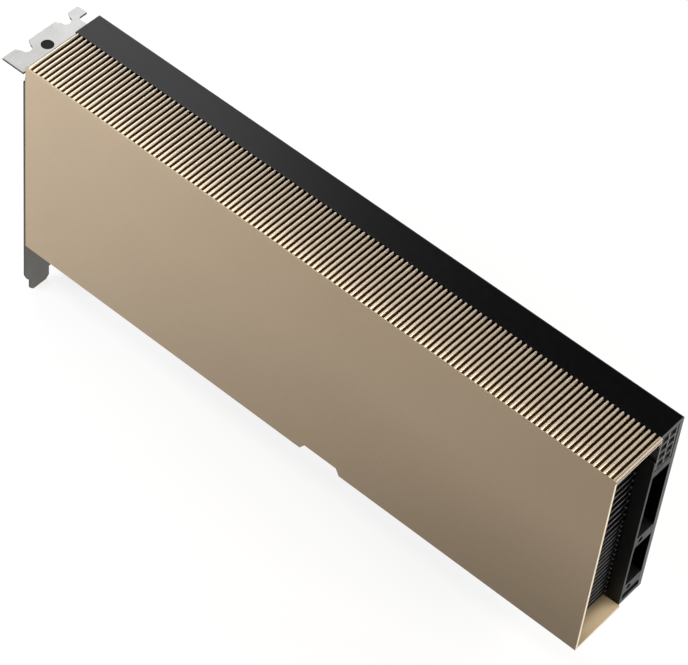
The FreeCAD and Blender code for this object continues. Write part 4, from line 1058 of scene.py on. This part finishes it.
board_low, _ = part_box("circuit_board")
board_front = board_low.y / MM
bodies = bmesh.new()
caps = bmesh.new()
for count in range(CAPACITORS):
    across = FIRST_CAPACITOR + CAPACITOR_PITCH * count
    middle = (across, board_front - BODY[1] / 2, CAPACITOR_LEVEL)
    add_softened_block(bodies, BODY, middle, BODY_EDGE)
    for side in (-1, 1):
        level = CAPACITOR_LEVEL + side * (BODY[2] / 2 + CAP[2] / 2 - CAP_OVERLAP)
        add_softened_block(caps, CAP, (across, board_front - CAP[1] / 2, level), CAP_EDGE)
ceramic_finish = finish(
    "ceramic_body", tones=((0.20, 0.125, 0.070), (0.17, 0.105, 0.060)),
    roughness=(0.30, 0.42), grain=(1500.0, 0.5), bump=0.05,
)
solder_finish = finish(
    "tinned_cap", tones=((0.62, 0.62, 0.61), (0.55, 0.55, 0.54)),
    roughness=(0.24, 0.38), metallic=1.0, grain=(1500.0, 0.7), bump=0.12,
)
keep_piece("coupling_capacitor_bodies", bodies, ceramic_finish)
keep_piece("coupling_capacitor_caps", caps, solder_finish)
print("capacitors by the card edge:", CAPACITORS)

# %% [markdown]
# ## Fins
#
# The fins are stamped from foil 0.4 mm thick, stacked and soldered to the base. Their rear ends
# reach past the base, in front of the frame's side. The solids stop at the frame, so the fins are
# made here again from two softened blocks each: the fin itself, and a narrower end beside the
# frame. Their levels and their thickness are read from the solids.

# %% Stack of fins
FIN_EDGE = 0.08
FIN_REAR_GAP = 6.0
FIN_SIDE_GAP = 0.1
END_OVERLAP = 1.0
fin_boxes = islands("cooling_fins")
frame_low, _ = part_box("rear_frame")
fin_rear_end = rear_end / MM - FIN_REAR_GAP
fin_inner_side = frame_low.y / MM - FIN_SIDE_GAP


def span(first, second):
    """The length and the middle of a stretch between two places."""
    return second - first, (first + second) / 2


fins = bmesh.new()
for low, high in fin_boxes:
    thickness, height = span(low.z / MM, high.z / MM)
    long, middle_x = span(low.x / MM, high.x / MM)
    deep, middle_y = span(low.y / MM, high.y / MM)
    add_softened_block(fins, (long, deep, thickness), (middle_x, middle_y, height), FIN_EDGE)
    long, middle_x = span(high.x / MM - END_OVERLAP, fin_rear_end)
    deep, middle_y = span(low.y / MM, fin_inner_side)
    add_softened_block(fins, (long, deep, thickness), (middle_x, middle_y, height), FIN_EDGE)
fin_piece = keep_piece("cooling_fins_stacked", fins, cooler_finish)
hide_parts("cooling_fins")
print("fins stacked:", len(fin_boxes), "up to x", round(fin_rear_end, 2), "mm")

# %% [markdown]
# From the rear opening the fins show as thin lit edges and a column of bright points. Both are
# painted highlights: small pale blocks on each fin's rear end, a thin one along its edge and a
# small one near the frame's side as a glint.

# %% Painted highlights on the fins' rear ends
RIM_DEPTH = 0.16            # along the card
RIM_SHARE = 0.7             # of the fin's thickness
RIM_PROUD = 0.02
RIM_FROM_FACE = 0.3
RIM_SHORTER = 5.0
RIM_EDGE = 0.03
GLINT_BLOCK = (0.8, 0.4, 0.45)
GLINT_FROM_SIDE = 1.6
GLINT_RISE = 0.35
# painted highlights: pale blocks on each fin's rear end, a thin edge line and a small glint
fin_highlight_finish = finish(
    "painted_fin_highlight", tones=((0.27, 0.27, 0.27), (0.17, 0.17, 0.17)),
    roughness=(0.35, 0.50), metallic=1.0, grain=(1500.0, 0.5), bump=0.04, clouds=300.0,
)
fin_highlight_blocks = bmesh.new()
for low, high in fin_boxes:
    thickness, height = span(low.z / MM, high.z / MM)
    rim_length = fin_inner_side - low.y / MM - RIM_SHORTER
    rim_middle = low.y / MM + RIM_FROM_FACE + rim_length / 2
    add_softened_block(fin_highlight_blocks, (RIM_DEPTH, rim_length, thickness * RIM_SHARE),
                       (fin_rear_end - RIM_PROUD, rim_middle, height), RIM_EDGE)
    # painted glint: a small pale block near the frame's side
    glint_middle = (fin_rear_end - GLINT_BLOCK[0] / 2, fin_inner_side - GLINT_FROM_SIDE, height + GLINT_RISE)
    add_softened_block(fin_highlight_blocks, GLINT_BLOCK, glint_middle, FIN_EDGE)
keep_piece("cooling_fin_painted_highlights", fin_highlight_blocks, fin_highlight_finish)

# %% [markdown]
# ## Floor
#
# The picture has a white ground. The floor is a plain pale sheet: to the camera, to reflections
# and through glass it is part its own white, which is why it stays white, and part lit paint,
# which is why it keeps the card's shadow.

# %% Floor
FLOOR_OWN_WHITE = 0.80
FLOOR_PAINT = (0.86, 0.86, 0.86, 1)
FLOOR_HALF_SIDE = 6.0
floor_paint = bpy.data.materials.new("pale_floor")
floor_paint.use_nodes = True
tree = floor_paint.node_tree
tree.nodes.remove(tree.nodes["Principled BSDF"])
path = place(tree, "ShaderNodeLightPath").outputs
seen = math_node(tree, "MAXIMUM", path["Is Camera Ray"], path["Is Glossy Ray"])
seen = math_node(tree, "MAXIMUM", seen, path["Is Transmission Ray"])
paint = place(tree, "ShaderNodeBsdfDiffuse", Color=FLOOR_PAINT)
white = place(tree, "ShaderNodeEmission", Color=(1, 1, 1, 1), Strength=1.0)
mixed = place(tree, "ShaderNodeMixShader")
feed(tree, mixed, 0, math_node(tree, "MULTIPLY", seen, FLOOR_OWN_WHITE))
feed(tree, mixed, 1, paint.outputs[0])
feed(tree, mixed, 2, white.outputs[0])
feed(tree, tree.nodes["Material Output"], "Surface", mixed.outputs[0])
floor_shape = bmesh.new()
bmesh.ops.create_grid(floor_shape, x_segments=1, y_segments=1, size=FLOOR_HALF_SIDE)
floor = add_object("floor", mesh_of(floor_shape, "floor", floor_paint))
floor.location = (0, 0, floor_level)
print("floor level in mm:", round(floor_level / MM, 2))

# %% [markdown]
# The air around the card is pale at the horizon and dim overhead, so that surfaces that look up,
# such as the black top strip, stay dark. It is a plain ramp on the world's own up direction.

# %% Air around the card
HORIZON = (0.60, 0.60, 0.61, 1)
OVERHEAD = (0.045, 0.045, 0.047, 1)
OVERHEAD_FROM = 0.75
world = bpy.data.worlds.new("studio_air")
bpy.context.scene.world = world
world.use_nodes = True
tree = world.node_tree
sky = tree.nodes["Background"]
up = split(tree, place(tree, "ShaderNodeTexCoord").outputs["Generated"])["Z"]
rise = ramp(tree, up, 0.0, OVERHEAD_FROM, kind="SMOOTHSTEP")
feed(tree, sky, "Color", blend(tree, rise, HORIZON, OVERHEAD))
feed(tree, sky, "Strength", 1.0)
print("air: horizon", HORIZON[0], "and overhead", OVERHEAD[0])

# %% [markdown]
# ## Lamps
#
# Seven soft lamps, each for one thing. A high one behind on the left shines in the bracket and
# fades along the top strip. A low one on each side and a higher one on the right catch the ribs'
# crests, whose rounded sides look all ways. One low in front lights the left end of the gold face,
# and a narrow one above the face fades down it. One past the rear end lets the frame's edges and
# pockets be read. The lamps on the left are a little cooler than those on the right, as in a
# studio with a window. Area lamps stand for soft boxes, and the camera doesn't see them.

# %% Lamps
WINDOW = (0.88, 0.95, 1.0)
COOL = (0.95, 0.98, 1.0)
WARM = (1.0, 0.96, 0.90)


def soft_lamp(name, position, target, size, radiance, tint):
    """An oblong soft box with a given brightness of its own surface."""
    width, depth = (mm(side) for side in size)
    data = bpy.data.lights.new(name, "AREA")
    data.shape = "RECTANGLE"
    data.size = width
    data.size_y = depth
    data.color = tint
    data.energy = radiance * math.pi * width * depth
    lamp = add_object(name, data)
    lamp.location = mm(*position)
    aim(lamp, mm(*target) - mm(*position))
    lamp.visible_camera = False
    print(name, "energy in W:", round(data.energy, 2))


soft_lamp("back_left_box", (-300, 275, 520), (-60, 0, 105), (210, 300), 3.6, COOL)
soft_lamp("low_left_box", (-480, 340, 320), (40, 0, 100), (300, 300), 7.0, COOL)
soft_lamp("low_right_box", (605, 357, 376), (120, 0, 100), (300, 300), 7.0, WARM)
soft_lamp("over_right_box", (380, 356, 620), (100, 0, 100), (300, 220), 6.0, WARM)
soft_lamp("front_left_box", (-230, -260, 90), (-110, -100, 20), (220, 160), 15.0, WINDOW)
soft_lamp("over_face_box", (60, -130, 260), (60, -60, 60), (260, 60), 9.0, WARM)
soft_lamp("rear_end_box", (820, 20, 400), (200, -20, 40), (260, 260), 20.0, WARM)

# %% [markdown]
# ## End of the scene


print("scene built")
